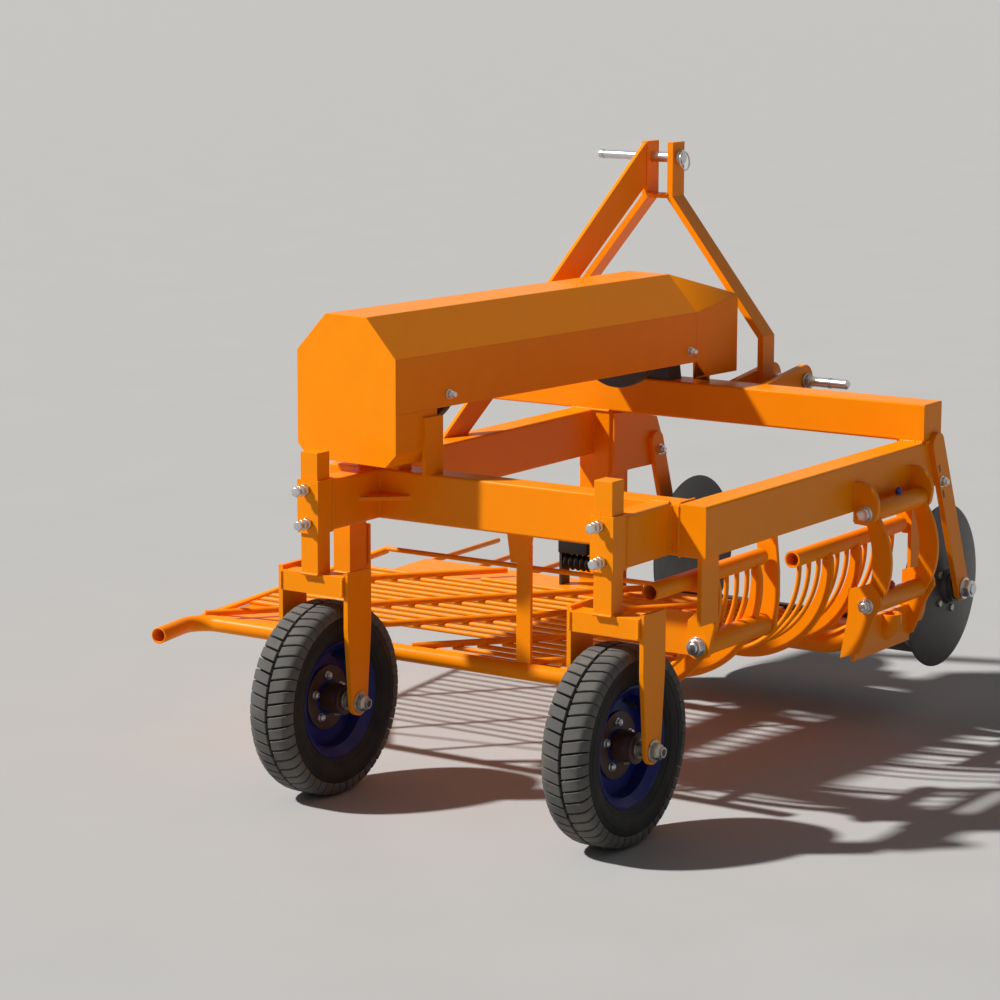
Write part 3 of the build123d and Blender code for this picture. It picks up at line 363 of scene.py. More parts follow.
# %% Rubber, bare metal, caps and the floor
rubber = finish("rubber", (0.009, 0.009, 0.0092), 0.7, drift=0.25, dust=0.05, dust_high=0.42, fine=520,
                coarse=30, bump=0.12, shine=0.3)
tread_rubber = finish("scuffed tread", (0.088, 0.086, 0.083), 0.8, second=(0.15, 0.147, 0.14), wear=0.7,
                      radius=0.003, drift=0.3, dust=0.2, dust_top=0.25, dust_high=0.42, fine=520, coarse=30,
                      bump=0.15, shine=0.3)
zinc = finish("bright zinc", (0.60, 0.61, 0.63), 0.3, second=(0.8, 0.8, 0.8), wear=0.4, drift=0.15,
              metal=1.0, spots=((0.42, 0.37, 0.28), 160, 0.62, 0.75), bump=0.06)
dull_zinc = finish("dull zinc", (0.38, 0.36, 0.32), 0.45, second=(0.6, 0.6, 0.58), wear=0.4, drift=0.2,
                   metal=1.0, spots=((0.16, 0.09, 0.04), 120, 0.58, 0.72), bump=0.1)
steel = finish("turned steel", (0.45, 0.45, 0.46), 0.32, drift=0.12, metal=1.0, fine=1400, bump=0.05)
cap_blue = finish("blue cap", (0.02, 0.05, 0.3), 0.4, drift=0.1)
cap_red = finish("red cap", (0.45, 0.01, 0.008), 0.4, drift=0.1)
concrete = finish("pale floor", (0.45, 0.45, 0.447), 0.85, drift=0.04, coarse=3, fine=160, bump=0.05)
floor.data.materials.append(concrete)
print("materials", len(bpy.data.materials))

# %% Each engineering part takes its slot's finish
SLOTS = {"orange_paint": orange, "blue_paint": blue, "black_paint": black, "cast_iron": iron,
         "steel": steel, "zinc": zinc, "tyre": rubber}
slot_of = {part["node"]: part["material_slot"] for part in frame["record"]["subparts"]}
for name, obj in frame["nodes"].items():
    obj.data.materials.clear()
    obj.data.materials.append(SLOTS[slot_of[name]])
print("painted", len(slot_of), "nodes")

# %% [markdown]
# ## Soft edges on plate and tube
# No edge of a fabricated frame is knife sharp: flame-cut plate is ground, and tube has corner radii.
# A Weld modifier first joins the loose triangles and a narrow Bevel rounds what is sharper than 35
# degrees. Between them a planar Decimate dissolves the triangles of each flat face, so that the bevel
# meets clean outlines. Modifiers keep the engineering mesh itself untouched.

# %% Bevel the painted steel
WELD_REACH, FLAT_ANGLE, SHARP_ANGLE = 0.00002, radians(0.4), radians(35)
SHEET_EDGE, TUBE_EDGE = 0.0008, 0.0012
BEVELLED = [name for name in frame["nodes"] if slot_of[name] in ("orange_paint", "black_paint", "cast_iron")
            and name not in ("grate_rods", "grate_top_bar")]
for name in BEVELLED:
    obj = frame["nodes"][name]
    weld = obj.modifiers.new("weld", "WELD")
    weld.merge_threshold = WELD_REACH
    flat = obj.modifiers.new("flat faces", "DECIMATE")
    flat.decimate_type = "DISSOLVE"
    flat.angle_limit = FLAT_ANGLE
    soft = obj.modifiers.new("soft edges", "BEVEL")
    soft.width = SHEET_EDGE if name.startswith("guard") else TUBE_EDGE
    soft.segments = 2
    soft.limit_method = "ANGLE"
    soft.angle_limit = SHARP_ANGLE
print("bevelled", len(BEVELLED))

# %% [markdown]
# ## Helpers for small steel pieces
# Bolts, nuts, washers and pins are turned or forged, so they are made from cones and circles with
# their rims bevelled. Each helper adds to a mesh in hand, in a local frame whose Z is the bolt's axis,
# and one call at the end places the whole group and lets it ride on its body.

# %% A local frame, a turned length and a ring of wire


def frame_at(place, axis, roll=0.0):
    """A matrix that stands local Z along the axis at a place."""
    turn = Vector(axis).normalized().to_track_quat("Z", "Y").to_matrix().to_4x4()
    return Matrix.Translation(place) @ turn @ Matrix.Rotation(roll, 4, "Z")


def up(distance):
    """A step along a local frame's Z."""
    return Matrix.Translation((0, 0, distance))


def edges_of(made):
    """The edges round the vertices that an operator made."""
    return list({edge for vert in made["verts"] for edge in vert.link_edges})


def turned(bm, matrix, r0, r1, z0, z1, sides=28, soft=0.0006):
    """A turned length between two heights, with its rims softened."""
    made = bmesh.ops.create_cone(bm, cap_ends=True, segments=sides, radius1=r0, radius2=r1, depth=z1 - z0,
                                 matrix=matrix @ up((z0 + z1) / 2))
    rims = [edge for edge in edges_of(made) if any(len(face.verts) > 4 for face in edge.link_faces)]
    bmesh.ops.bevel(bm, geom=rims, offset=soft, segments=2, profile=0.5, affect="EDGES", material=-1)


def ring(bm, matrix, radius, wire, steps=32, sides=10):
    """A round ring of wire, by spinning a small circle about local Z."""
    start = matrix @ Matrix.Translation((radius, 0, 0)) @ Matrix.Rotation(pi / 2, 4, "X")
    made = bmesh.ops.create_circle(bm, segments=sides, radius=wire, matrix=start)
    bmesh.ops.spin(bm, geom=edges_of(made), cent=matrix.translation, axis=matrix.to_3x3() @ Vector((0, 0, 1)),
                   angle=2 * pi, steps=steps, use_merge=True)


# %% A bolt's end, and the call that finishes a piece
# sizes of a bolt's end, as shares of its thread's diameter
WASHER_R, WASHER_T, HEX_R, HEX_T = 1.02, 0.2, 0.9, 0.66
CHAMFER_R, CHAMFER_TIP, CHAMFER_T = 0.78, 0.74, 0.05
THREAD_PITCH = 0.00175                  # in metres


def bolt(bm, place, axis, size, stud=0.0, washer=True, roll=0.3):
    """A hexagon on its washer, with a threaded end standing out by stud mm."""
    m = frame_at(place, axis, roll)
    s = size / 1000
    z = 0.0
    if washer:
        z = s * WASHER_T
        turned(bm, m, s * WASHER_R, s * WASHER_R, 0, z, soft=0.0004)
    top = z + s * HEX_T
    turned(bm, m, s * HEX_R, s * HEX_R, z, top, sides=6, soft=0.0007)
    turned(bm, m, s * CHAMFER_R, s * CHAMFER_TIP, top, top + s * CHAMFER_T, soft=0.0003)
    if stud:
        turned(bm, m, s * 0.5, s * 0.5, top, top + stud / 1000, sides=20, soft=0.0008)
        for i in range(int(stud / 1000 / THREAD_PITCH)):
            ring(bm, m @ up(top + (i + 0.5) * THREAD_PITCH), s * 0.5, THREAD_PITCH * 0.32, steps=20, sides=5)


def placed(name, bm, material, body, smooth=50):
    """Turn the mesh in hand into a finished piece on a body."""
    bmesh.ops.recalc_face_normals(bm, faces=bm.faces)
    mesh = bpy.data.meshes.new(name)
    bm.to_mesh(mesh)
    bm.free()
    mesh.materials.append(material)
    mesh.shade_smooth()
    mesh.set_sharp_from_angle(angle=radians(smooth))
    obj = bpy.data.objects.new(name, mesh)
    scene.collection.objects.link(obj)
    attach(obj, body)
    print(name, "on", body, len(mesh.polygons), "faces")
    return obj


# %% [markdown]
# ## Tyres
# The wheels carry small tyres whose tread is two rows of broad slanted blocks either side of a narrow
# centre groove, running over the shoulders as short ribs. The carcass is a few points of its section
# spun round the axle. One block is an outline pushed sideways, and its spun copies make the row. The
# blocks reach the tyre's real radius, so the carcass stays a little smaller, and the new tyre stands
# for the plain one.

# %% Sizes of the tyre
TYRE_R, LUG_H, RIM_R = 0.1925, 0.0095, 0.112
LUGS, LUG_W, LUG_SLANT = 50, 0.0198, 0.24
CARCASS_R = TYRE_R - LUG_H
print("tyre", TYRE_R, "with", 2 * LUGS, "blocks")

# %% Carcass: half a section from the bead to the crown, as (across, radius)
HALF_SECTION = [
    (0.022, RIM_R - 0.006), (0.034, RIM_R + 0.004), (0.0395, RIM_R + 0.010), (0.0415, RIM_R + 0.012),
    (0.0415, RIM_R + 0.015), (0.0450, RIM_R + 0.022), (0.0470, RIM_R + 0.036), (0.0474, RIM_R + 0.050),
    (0.0440, CARCASS_R - 0.014), (0.0390, CARCASS_R - 0.006), (0.030, CARCASS_R - 0.0012),
    (0.0022, CARCASS_R), (0.0018, CARCASS_R - 0.003)]


def carcass(bm, centre):
    """The tyre's body, spun round the axle."""
    section = HALF_SECTION + [(-x, z) for x, z in reversed(HALF_SECTION)]
    points = [bm.verts.new(centre + Vector((x, 0, z))) for x, z in section]
    edges = [bm.edges.new((a, b)) for a, b in zip(points, points[1:] + points[:1])]
    bmesh.ops.spin(bm, geom=points + edges, cent=centre, axis=(1, 0, 0), angle=2 * pi, steps=96,
                   use_merge=True)
    bmesh.ops.remove_doubles(bm, verts=bm.verts, dist=0.00005)


# %% Tread blocks: the outline of one from the groove over the shoulder, as (across, radius)
BLOCK_OUTLINE = [
    (0.0030, CARCASS_R - 0.002), (0.0030, TYRE_R - 0.0004), (0.018, TYRE_R - 0.0004),
    (0.033, TYRE_R - 0.0016), (0.0425, TYRE_R - 0.0058), (0.0474, TYRE_R - 0.0150), (0.0478, TYRE_R - 0.0250),
    (0.0455, TYRE_R - 0.0270), (0.0420, CARCASS_R - 0.009), (0.034, CARCASS_R - 0.005)]
BLOCK_START = LUG_W * 0.7               # how far behind the middle a block's outline stands


def block_row(bm, centre, turn, sign):
    """A row of blocks on one side, turned on by a share of a block, in the tread's own rubber."""
    start = Matrix.Rotation(turn * 2 * pi / LUGS, 4, "X")
    tread = bmesh.new()
    corners = [tread.verts.new(centre + start @ Vector((sign * x, LUG_SLANT * x - BLOCK_START, z)))
               for x, z in BLOCK_OUTLINE]
    grown = bmesh.ops.extrude_face_region(tread, geom=[tread.faces.new(corners)], use_keep_orig=True)
    moved = [item for item in grown["geom"] if isinstance(item, bmesh.types.BMVert)]
    bmesh.ops.translate(tread, verts=moved, vec=start.to_3x3() @ Vector((0, LUG_W, 0)))
    bmesh.ops.recalc_face_normals(tread, faces=tread.faces)
    rims = [edge for edge in tread.edges if edge.calc_face_angle(0) > radians(60)]
    bmesh.ops.bevel(tread, geom=rims, offset=0.0009, segments=1, profile=0.5, affect="EDGES", material=-1)
    for face in tread.faces:
        face.material_index = 1
    block = tread.verts[:] + tread.edges[:] + tread.faces[:]
    bmesh.ops.spin(tread, geom=block, cent=centre, axis=(1, 0, 0), angle=2 * pi * (LUGS - 1) / LUGS,
                   steps=LUGS - 1, use_duplicate=True)
    blocks = bpy.data.meshes.new("blocks")
    tread.to_mesh(blocks)
    tread.free()
    bm.from_mesh(blocks)
    bpy.data.meshes.remove(blocks)


# %% Both tyres
# across, radius and wire of the moulded lines round the sidewall
SIDEWALL_LINES = ((0.0432, RIM_R + 0.019, 0.0011), (0.0472, RIM_R + 0.041, 0.0009))


def tyre(side):
    """One tyre with its tread, centred on its wheel's joint."""
    centre = Vector(joints[f"wheel_{side}_spin"]["pos_m"])
    bm = bmesh.new()
    carcass(bm, centre)
    block_row(bm, centre, 0.0, 1)
    block_row(bm, centre, 0.5, -1)
    for sign in (1, -1):
        for across, radius, wire in SIDEWALL_LINES:
            middle = Matrix.Translation(centre + Vector((sign * across, 0, 0)))
            ring(bm, middle @ Matrix.Rotation(pi / 2, 4, "Y"), radius, wire, steps=96, sides=8)
    obj = placed(f"tyre_tread_{side}", bm, rubber, f"wheel_{side}", smooth=40)
    obj.data.materials.append(tread_rubber)
    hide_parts(f"tyre_{side}")


for side in ("right", "left"):
    tyre(side)

# %% [markdown]
# ## Wheel hubs
# Inside each blue rim sits a hub in brown primer, held by a ring of zinc bolts, and on the axle's ends
# are a thick washer, a nut and the bored end of the axle bolt. The bore is painted shade, a black disc.
# These are turned parts, so a few cones do, and the ring of bolts is a loop round the joint.

# %% The end of a pin


def end_of(node_name, axis, side):
    """The middle of a pin's end face, from its box."""
    low, high = (Vector(v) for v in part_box(node_name))
    place = (low + high) / 2
    place[axis] = (high if side > 0 else low)[axis]
    return place


print("right axle ends at", tuple(round(v, 4) for v in end_of("wheel_axle_right", 0, 1)))

# %% Hub, its bolts and the valve
RIM_FACES = ((1, 0.0022), (-1, 0.0142))     # the rim disc's two sides, from the wheel's centre
FLANGE_R, FLANGE_T = 0.0650, 0.004
BARREL_ROOT_R, BARREL_TIP_R, BARREL_END = 0.0315, 0.0280, 0.0505
HUB_BOLTS, HUB_CIRCLE, HUB_TURN = 5, 0.044, 0.35


def hub(side, centre):
    """A flange and a barrel on each side of the rim's disc."""
    bm = bmesh.new()
    for sign, face in RIM_FACES:
        out = frame_at(centre, (sign, 0, 0))
        turned(bm, out, FLANGE_R, FLANGE_R - 0.0005, face, face + FLANGE_T, sides=48, soft=0.001)
        turned(bm, out, BARREL_ROOT_R, BARREL_TIP_R, face + FLANGE_T, BARREL_END, sides=40, soft=0.0012)
        turned(bm, out, 0.0300, 0.0300, 0.0440, 0.0500, sides=40, soft=0.001)       # rim of the barrel
    placed(f"hub_{side}", bm, brown, f"wheel_{side}")


def hub_bolts(side, centre):
    """A ring of bolts through the flanges, with their studs to the right."""
    bm = bmesh.new()
    for sign, face in RIM_FACES:
        for i in range(HUB_BOLTS):
            a = 2 * pi * i / HUB_BOLTS + HUB_TURN
            place = centre + Vector((sign * (face + FLANGE_T), HUB_CIRCLE * cos(a), HUB_CIRCLE * sin(a)))
            bolt(bm, place, (sign, 0, 0), size=8.5, stud=2.5 if sign > 0 else 0, roll=a)
    placed(f"hub_bolts_{side}", bm, zinc, f"wheel_{side}")


def valve(side, centre):
    """The valve's stem and cap, leaning out of the rim."""
    bm = bmesh.new()
    out = frame_at(centre + Vector((0.018, 0.0, 0.088)), (0.9, 0, -0.35))
    turned(bm, out, 0.0042, 0.0036, 0.0, 0.020, sides=14)           # stem
    turned(bm, out, 0.0033, 0.0033, 0.020, 0.030, sides=12)         # cap
    placed(f"valve_{side}", bm, rubber, f"wheel_{side}")


# %% Axle ends
AXLE_END, SPACER = 0.084, 0.051             # where the nuts and the spacers start, from the wheel's centre


def axle_nuts(side, centre):
    """Washer and nut outside each cheek of the fork, and a spacer inside it."""
    bm = bmesh.new()
    for sign in (1, -1):
        out = frame_at(centre + Vector((sign * AXLE_END, 0, 0)), (sign, 0, 0))
        turned(bm, out, 0.0215, 0.0215, 0.0, 0.003, sides=36)                       # washer
        turned(bm, out, 0.0165, 0.0165, 0.003, 0.0135, sides=6, soft=0.0012)        # nut
        turned(bm, out, 0.0150, 0.0118, 0.0135, 0.0175, sides=30)                   # its collar
        inner = frame_at(centre + Vector((sign * SPACER, 0, 0)), (sign, 0, 0))
        turned(bm, inner, 0.0190, 0.0190, 0.0005, 0.0040, sides=36)                 # washer
        turned(bm, inner, 0.0140, 0.0140, 0.0040, 0.0228, sides=30)                 # spacer
    placed(f"axle_nuts_{side}", bm, dull_zinc, f"fork_{side}")


def painted_bore_shade(side):
    """Painted shade for the bore in each end of the axle bolt: a thin black disc on its end face."""
    bm = bmesh.new()
    for sign in (1, -1):
        out = frame_at(end_of(f"wheel_axle_{side}", 0, sign), (sign, 0, 0))
        turned(bm, out, 0.0070, 0.0070, -0.0010, 0.0003, sides=24, soft=0.0001)
    placed(f"painted_bore_shade_{side}", bm, black, f"fork_{side}")


for side in ("right", "left"):
    centre = Vector(joints[f"wheel_{side}_spin"]["pos_m"])
    hub(side, centre)
    hub_bolts(side, centre)
    valve(side, centre)
    axle_nuts(side, centre)
    painted_bore_shade(side)

# %% [markdown]
# ## Clamp bolts on the wheel posts
# Each sleeve pinches its square post with two bolts through a welded nut, and a lock nut holds each.
# They stand out to the rear, where the operator can reach them when setting the digging depth.

# %% Clamp bolts
SLEEVE_REAR = -204
CLAMPS = ((614, 0), (548, 5))               # each bolt's height, and its shift to the right
for side, x in (("right", 654), ("left", -17)):
    bm = bmesh.new()
    for z, right in CLAMPS:
        out = frame_at(at(x + right, SLEEVE_REAR, z), (0, -1, 0), 0.2)
        turned(bm, out, 0.0115, 0.0115, 0.0, 0.010, sides=6, soft=0.0010)           # welded nut
        turned(bm, out, 0.0060, 0.0060, 0.010, 0.020, sides=18)                     # shank
        turned(bm, out, 0.0112, 0.0112, 0.0150, 0.0225, sides=6, soft=0.0012)       # lock nut
        for i in range(5):
            ring(bm, out @ up(0.0108 + i * 0.0009), 0.006, 0.0004, steps=18, sides=5)
        turned(bm, out, 0.0060, 0.0060, 0.0225, 0.0275, sides=18, soft=0.0008)
        turned(bm, out, 0.0100, 0.0100, 0.0275, 0.0350, sides=6, soft=0.0014)       # head
    placed(f"clamp_bolts_{side}", bm, zinc, "frame")

# %% [markdown]
# ## Bolts, nuts and pins on the frame
# Most pivots show a nut or head on its washer at each end. They share one helper, so the table below
# only says where each stands, which way it points, its thread size and how far its end stands out.

# %% Nuts and heads
FORWARD, RIGHT = Vector((0, 1, 0)), Vector((1, 0, 0))
# name, the body it rides on, and (place, axis, size, stud) of each end, with the last two in mm;
# a washer stands back from its pin's end by the length of pin that it and the nut cover
BOLT_ENDS = (
    ("rocker_bolt_ends", "frame", [
        (end_of("rocker_bolt", 1, -1) + FORWARD * 0.012, -FORWARD, 16, 0),
        (end_of("rocker_bolt", 1, 1) - FORWARD * 0.024, FORWARD, 16, 8)]),
    ("lower_bolt_ends", "shaking_grate", [
        (end_of("rocker_lower_bolt", 1, -1) + FORWARD * 0.014, -FORWARD, 16, 6),
        (end_of("rocker_lower_bolt", 1, 1) - FORWARD * 0.020, FORWARD, 16, 8)]),
    ("pivot_pin_ends", "frame", [
        (end_of("grate_pivot_pin", 1, -1) + FORWARD * 0.012, -FORWARD, 19, 5),
        (end_of("grate_pivot_pin", 1, 1) - FORWARD * 0.012, FORWARD, 19, 5)]),
    ("disc_axle_ends_right", "frame", [(end_of("disc_axle_right", 0, 1) - RIGHT * 0.024, RIGHT, 23, 0)]),
    ("disc_axle_ends_left", "frame", [(end_of("disc_axle_left", 0, -1) + RIGHT * 0.024, -RIGHT, 23, 0)]),
    ("disc_arm_bolts_right", "frame", [(at(772, 962, 541), RIGHT, 12, 6)]),
    ("disc_arm_bolts_left", "frame", [
        (at(12, 1080, 522), RIGHT, 12, 5), (at(-8, 1095, 530), -RIGHT, 12, 8)]),
    ("guard_bolts", "frame", [
        (on_guard(160, 129, 782), drive_side, 10, 9), (on_guard(966, 129, 783), drive_side, 10, 9)]),
)
for name, body, places in BOLT_ENDS:
    bm = bmesh.new()
    for place, axis, size, stud in places:
        bolt(bm, place, axis, size, stud=stud)
    placed(name, bm, zinc, body)

# %% [markdown]
# ## Disc hubs
# Each coulter turns on a greased hub: a black cast cup and cone in the middle of its dish, with a ring
# of bolts. They spin with the disc, so they ride on its body.

# %% Hub cups and disc bolts
DISC_BOLTS, DISC_CIRCLE = 5, 0.052
DISH, BOLT_SEAT = 0.030, 0.0216             # depths behind the disc's outermost face
for side, sign in (("right", 1), ("left", -1)):
    face = end_of(f"disc_{side}", 0, sign).x
    centre = Vector(joints[f"disc_{side}_spin"]["pos_m"])
    bm = bmesh.new()
    out = frame_at(Vector((face, centre.y, centre.z)), (sign, 0, 0))
    turned(bm, out, 0.0270, 0.0250, 0.0, 0.0042, sides=40, soft=0.0008)             # cup
    inner = frame_at(Vector((face - sign * DISH, centre.y, centre.z)), (sign, 0, 0))
    turned(bm, inner, 0.0390, 0.0330, 0.009, 0.020, sides=44, soft=0.001)           # cone
    placed(f"disc_cup_{side}", bm, iron, f"coulter_{side}")
    bm = bmesh.new()
    for i in range(DISC_BOLTS):
        a = 2 * pi * i / DISC_BOLTS
        place = centre + Vector((0, DISC_CIRCLE * cos(a), DISC_CIRCLE * sin(a)))
        place.x = face - sign * BOLT_SEAT
        bolt(bm, place, (sign, 0, 0), size=9, washer=False, roll=a)
    placed(f"disc_bolts_{side}", bm, dull_zinc, f"coulter_{side}")

# %% Painted shade in the slots of the right disc's arm: thin black plates let into its face
ARM_FACE, ARM_LEAN = 771.6, radians(20)
SLOT_SHADE_SIZE = (0.0014, 0.0065, 0.017, 1)
bm = bmesh.new()
for y, z in ((951, 570), (973, 513)):
    slot = Matrix.Translation(at(ARM_FACE, y, z)) @ Matrix.Rotation(ARM_LEAN, 4, "X")
    bmesh.ops.create_cube(bm, size=1.0, matrix=slot @ Matrix.Diagonal(SLOT_SHADE_SIZE))
placed("disc_arm_slot_shade", bm, black, "frame")

# %% [markdown]
# ## Hitch pins
# Each lower pin gets a collar, a nut on either side of its lug and fine grooves along its length. The
# top pin stands drawn out to the left, and a linch pin with its spring ring hangs in its right end.

# %% Lower pins: collar, grooves and nuts
SHOULDER, GROOVES = 0.108, (0.020, 0.062, 0.066)    # the shoulder from the pin's tip, the grooves from it
for side, sign in (("right", 1), ("left", -1)):
    tip, root = end_of(f"hitch_pin_{side}", 0, sign), end_of(f"hitch_pin_{side}", 0, -sign)
    bm = bmesh.new()
    out = frame_at(tip - RIGHT * (sign * SHOULDER), (sign, 0, 0))
    turned(bm, out, 0.0172, 0.0172, 0.0, 0.006, sides=36)                           # collar
    turned(bm, out, 0.0150, 0.0150, 0.006, 0.0150, sides=6, soft=0.001)             # nut
    for z in GROOVES:
        ring(bm, out @ up(z), 0.0110, 0.0009, steps=36, sides=8)
    placed(f"lower_pin_collar_{side}", bm, dull_zinc, "frame")
    bm = bmesh.new()
    back = frame_at(root + RIGHT * (sign * 0.012), (-sign, 0, 0))
    turned(bm, back, 0.0165, 0.0165, 0.0, 0.010, sides=6, soft=0.0012)
    placed(f"lower_pin_nut_{side}", bm, zinc, "frame")

# %% Top pin: linch pin, its ring and two grooves
head, tail = end_of("top_link_pin", 0, 1), end_of("top_link_pin", 0, -1)
bm = bmesh.new()
turned(bm, frame_at(head, RIGHT), 0.0150, 0.0150, -0.0138, -0.0090, sides=32)          # collar
turned(bm, frame_at(head + Vector((-0.004, 0, -0.016)), (0, 0, 1)), 0.0042, 0.0042, 0.0, 0.034, sides=16)
loop = Matrix.Translation(head + Vector((0.0015, 0.0, -0.006))) @ Matrix.Rotation(radians(82), 4, "Y")
ring(bm, loop, 0.0205, 0.0019, steps=40, sides=10)
placed("linch_pin", bm, zinc, "frame")
bm = bmesh.new()
for z in (0.008, 0.0120):
    ring(bm, frame_at(tail, RIGHT) @ up(z), 0.0095, 0.0006, steps=32, sides=8)
placed("top_pin_groove", bm, dull_zinc, "frame")

# %% [markdown]
# ## Grease nipples
# A blue plastic cap covers the nipple on the rocker's upper tube and a red one that on its lower tube.
# They are small turned shapes with softened rims, leaning a little to the right.

# %% Capped nipples
for name, place, material in (("nipple_upper", at(785, 736, 549), cap_blue),
                              ("nipple_lower", at(790, 704, 360), cap_red)):
    bm = bmesh.new()
    out = frame_at(place - Vector((0, 0, 0.0015)), (0.15, 0, 1))
    turned(bm, out, 0.0060, 0.0060, 0.0, 0.004, sides=6)                            # nipple
    turned(bm, out, 0.0075, 0.0068, 0.004, 0.013, sides=20, soft=0.0018)            # cap
    turned(bm, out, 0.0040, 0.0030, 0.013, 0.0165, sides=16, soft=0.0008)           # its tip
    placed(name, bm, material, "rocker")

# %% [markdown]
# ## The rubber buffer
# A black rubber block on a bellows stops the bed's front from knocking. The bellows is a row of cones
# that swell and shrink along one axis, which reads as folds without any sculpting.

# %% Block, bellows and feet
BUFFER_Y, BLOCK_Z, BELLOWS_Z, FEET_Z = 830, 336, 297, 282
FOLDS, FOLD, VALLEY_R, RIDGE_R = 7, 0.0144, 0.0125, 0.0190


def cuboid(bm, place, size):
    """A box of a size in metres about a place."""
    return bmesh.ops.create_cube(bm, size=1.0, matrix=Matrix.Translation(place) @ Matrix.Diagonal((*size, 1)))


bm = bmesh.new()
block = cuboid(bm, at(-47, BUFFER_Y, BLOCK_Z), (0.076, 0.044, 0.036))
bmesh.ops.bevel(bm, geom=edges_of(block), offset=0.003, segments=3, profile=0.5, affect="EDGES", material=-1)
along_bar = frame_at(at(-79, BUFFER_Y, BELLOWS_Z), RIGHT)
for i in range(FOLDS):
    ridge = (i + 0.5) * FOLD
    turned(bm, along_bar, VALLEY_R, RIDGE_R, i * FOLD, ridge, sides=32)
    turned(bm, along_bar, RIDGE_R, VALLEY_R, ridge, (i + 1) * FOLD, sides=32)
placed("buffer_rubber", bm, rubber, "shaking_grate")
bm = bmesh.new()
for x in (-81, 24):
    cuboid(bm, at(x, BUFFER_Y, FEET_Z), (0.006, 0.034, 0.074))
placed("buffer_feet", bm, black, "shaking_grate")

# %% [markdown]
# ## Weld beads
# The frame is welded all round, and the beads read as rippled cords in the corners. A bead could be a
# bump in the paint, but it must show in profile too. Here a small circle is pushed along the seam and
# swollen and shrunk every couple of millimetres, which gives the ripples of a hand-laid bead.

# %% Weld helpers
RIPPLE, RIDGE = 0.0032, 1.16             # length of a ripple, and how far its ridge is swollen


def swell(i):
    """How far a ripple stands out at a step, a little uneven as a hand lays it."""
    return RIDGE * (1.0 + 0.10 * sin(i * 1.7) + 0.06 * sin(i * 0.61))


def bead(bm, start, end, size):
    """One rippled bead from start to end."""
    length = (end - start).length
    steps = max(4, int(length / RIPPLE * 2))
    axis = (end - start).normalized()
    made = bmesh.ops.create_circle(bm, cap_ends=True, segments=7, radius=size * 0.7,
                                   matrix=frame_at(start, axis))
    loop = edges_of(made)
    for i in range(1, steps + 1):
        grown = bmesh.ops.extrude_edge_only(bm, edges=loop)
        verts = [item for item in grown["geom"] if isinstance(item, bmesh.types.BMVert)]
        loop = [item for item in grown["geom"] if isinstance(item, bmesh.types.BMEdge)]
        bmesh.ops.translate(bm, verts=verts, vec=axis * (length / steps))
        grow = swell(i) if i % 2 else 1 / swell(i - 1)
        centre = start + axis * (length / steps * i)
        bmesh.ops.scale(bm, verts=verts, vec=(grow, grow, grow), space=Matrix.Translation(-centre))
    bmesh.ops.contextual_create(bm, geom=loop)


def seam(name, body, runs, size=0.0045):
    """Several beads as one piece; runs are pairs of places in mm."""
    bm = bmesh.new()
    for start, end in runs:
        bead(bm, at(*start), at(*end), size)
    placed(name, bm, orange, body, smooth=70)


# %% Where the frame's tubes end, mm
TUBE_TOP, TUBE_LOW = 630, 530
RIGHT_IN, RIGHT_OUT, LEFT_IN = 700, 760, -51
FRONT_REAR, FRONT_FACE = 898, 978           # the front beam's rear and front faces
ARM_LEFTS, ARM_W, SLEEVE_FRONT = (633, -38), 50, -154
SIDES = (1, -1)

# %% Seams on the frame's corners
seam("weld_rear_corner", "frame", [
    ((RIGHT_IN, 1, TUBE_TOP - 4), (RIGHT_IN, 1, TUBE_LOW + 4)),
    ((RIGHT_IN, 4, TUBE_TOP), (RIGHT_IN, 58, TUBE_TOP)),
    ((RIGHT_IN, 60, TUBE_TOP - 4), (RIGHT_IN, 60, TUBE_LOW + 4)),
    ((RIGHT_IN, 4, TUBE_LOW), (RIGHT_IN, 58, TUBE_LOW))])
seam("weld_wheel_arms", "frame", [
    run for x in ARM_LEFTS for run in (
        ((x + 3, 0, TUBE_TOP), (x + ARM_W - 3, 0, TUBE_TOP)),
        ((x, 0, TUBE_TOP - 4), (x, 0, TUBE_LOW + 4)),
        ((x + ARM_W, 0, TUBE_TOP - 4), (x + ARM_W, 0, TUBE_LOW + 4)),
        ((x + 3, SLEEVE_FRONT, TUBE_TOP + 1), (x + ARM_W - 3, SLEEVE_FRONT, TUBE_TOP + 1)),
        ((x, SLEEVE_FRONT, TUBE_TOP - 3), (x, SLEEVE_FRONT, TUBE_LOW + 3)),
        ((x + ARM_W, SLEEVE_FRONT, TUBE_TOP - 3), (x + ARM_W, SLEEVE_FRONT, TUBE_LOW + 3)))])
seam("weld_left_beam", "frame", [
    ((-107, 60, TUBE_TOP), (-55, 60, TUBE_TOP)),
    ((LEFT_IN, 61, TUBE_TOP - 5), (LEFT_IN, 61, TUBE_LOW + 5)),
    ((-107, FRONT_REAR, TUBE_TOP), (-55, FRONT_REAR, TUBE_TOP)),
    ((LEFT_IN, FRONT_REAR, TUBE_TOP - 5), (LEFT_IN, FRONT_REAR, TUBE_LOW + 5))], size=0.005)
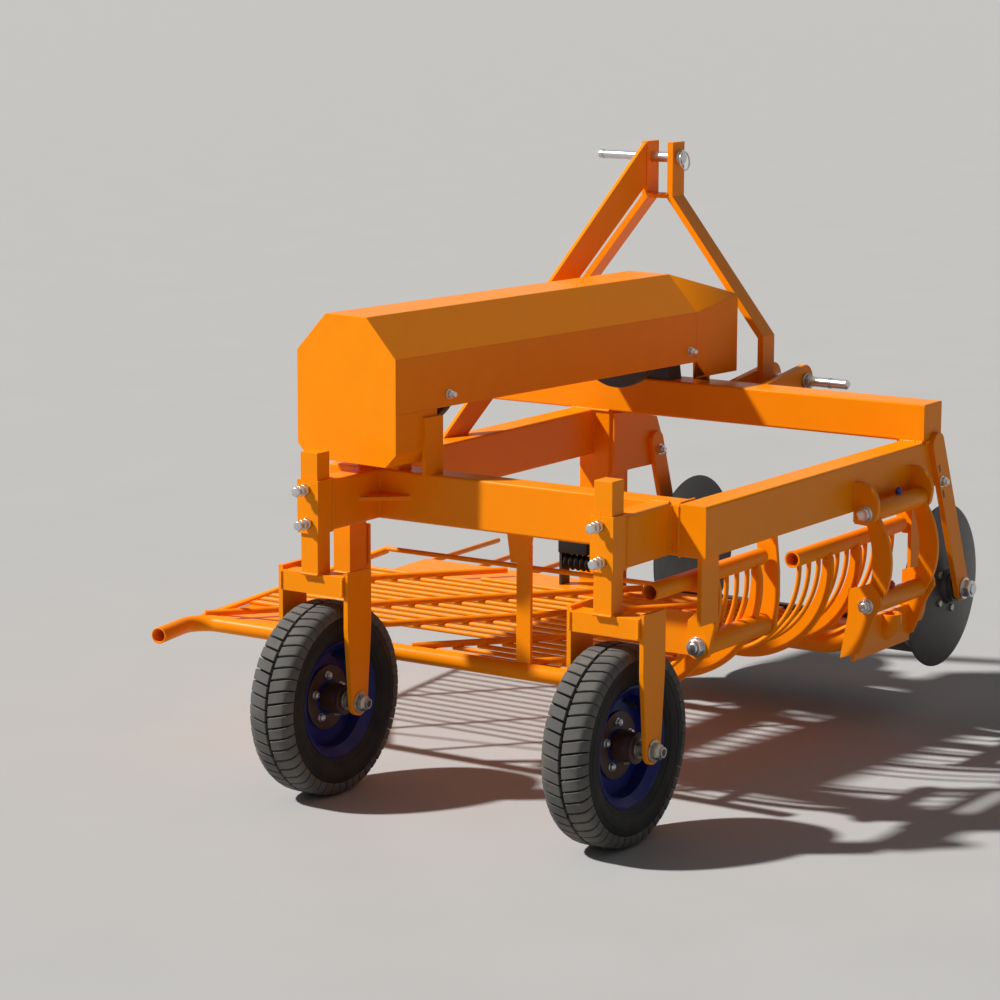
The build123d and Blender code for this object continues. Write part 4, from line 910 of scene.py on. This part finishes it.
seam("weld_front_corner", "frame", [
    ((RIGHT_IN + 3, FRONT_REAR, TUBE_TOP), (RIGHT_OUT - 3, FRONT_REAR, TUBE_TOP)),
    ((RIGHT_IN, FRONT_REAR + 3, TUBE_TOP), (RIGHT_IN, FRONT_FACE - 3, TUBE_TOP)),
    ((RIGHT_OUT, FRONT_REAR + 3, TUBE_TOP), (RIGHT_OUT, FRONT_FACE - 3, TUBE_TOP))], size=0.006)

# %% Seams on the leg, gusset, ears, mast and hitch lugs
seam("weld_leg", "frame", [
    ((-86, FRONT_REAR, TUBE_TOP), (-10, FRONT_REAR, TUBE_TOP)),
    ((-8, FRONT_REAR + 3, TUBE_TOP), (-8, FRONT_FACE - 3, TUBE_TOP))])
seam("weld_gusset", "frame", [
    ((12, -66, 583), (12, -3, 583)), ((14, 0, 583), (88, 0, 583))], size=0.0035)
seam("weld_rocker_ears", "frame", [
    ((RIGHT_OUT, y, 510), (RIGHT_OUT, y, 590)) for y in (595, 607, 835, 847)], size=0.004)
seam("weld_mast", "frame", [
    run for s in SIDES for run in (
        ((s * 262, 1075, 691), (s * 276, 1075, 691)), ((s * 276, 1077, 691), (s * 276, 1123, 691)),
        ((s * 28, 1075, 1097), (s * 12, 1075, 1097)))], size=0.0035)
seam("weld_lugs", "frame", [
    run for s in SIDES for x in (247, 262, 326.5, 341.5) for run in (
        ((s * x, FRONT_FACE, 634), (s * x, FRONT_FACE, 680)),
        ((s * x, FRONT_FACE, 692), (s * x, FRONT_FACE, 708)))], size=0.004)

# %% Seams on the forks and the grate
for side, x in (("right", 658), ("left", -13)):
    cheeks = [run for s in SIDES for run in (
        ((x + s * 74, -193, 410), (x + s * 74, -193, 444)),
        ((x + s * 74, -191, 447), (x + s * 74, -155, 447)))]
    post = [((x - 20, -199, 447), (x + 20, -199, 447)), ((x + 20, -197, 447), (x + 20, -161, 447))]
    seam(f"weld_fork_{side}", f"fork_{side}", cheeks + post, size=0.004)
seam("weld_rails", "shaking_grate", [
    ((x + 2, y + beside, z), (x + 12, y + beside, z - 2))
    for x, z, places in ((700, 461, (125, 285)), (728, 445, (525, 645))) for y in places
    for beside in (-5.5, 5.5)], size=0.003)
seam("weld_straps", "shaking_grate", [
    ((x - 15, y, 259), (x + 15, y, 259)) for x in (311, -80) for y in (65.5, 74.5)], size=0.003)

# %% Finish
size = {"cad": [list(v) for v in cad_box], "visual": [list(v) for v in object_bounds()]}
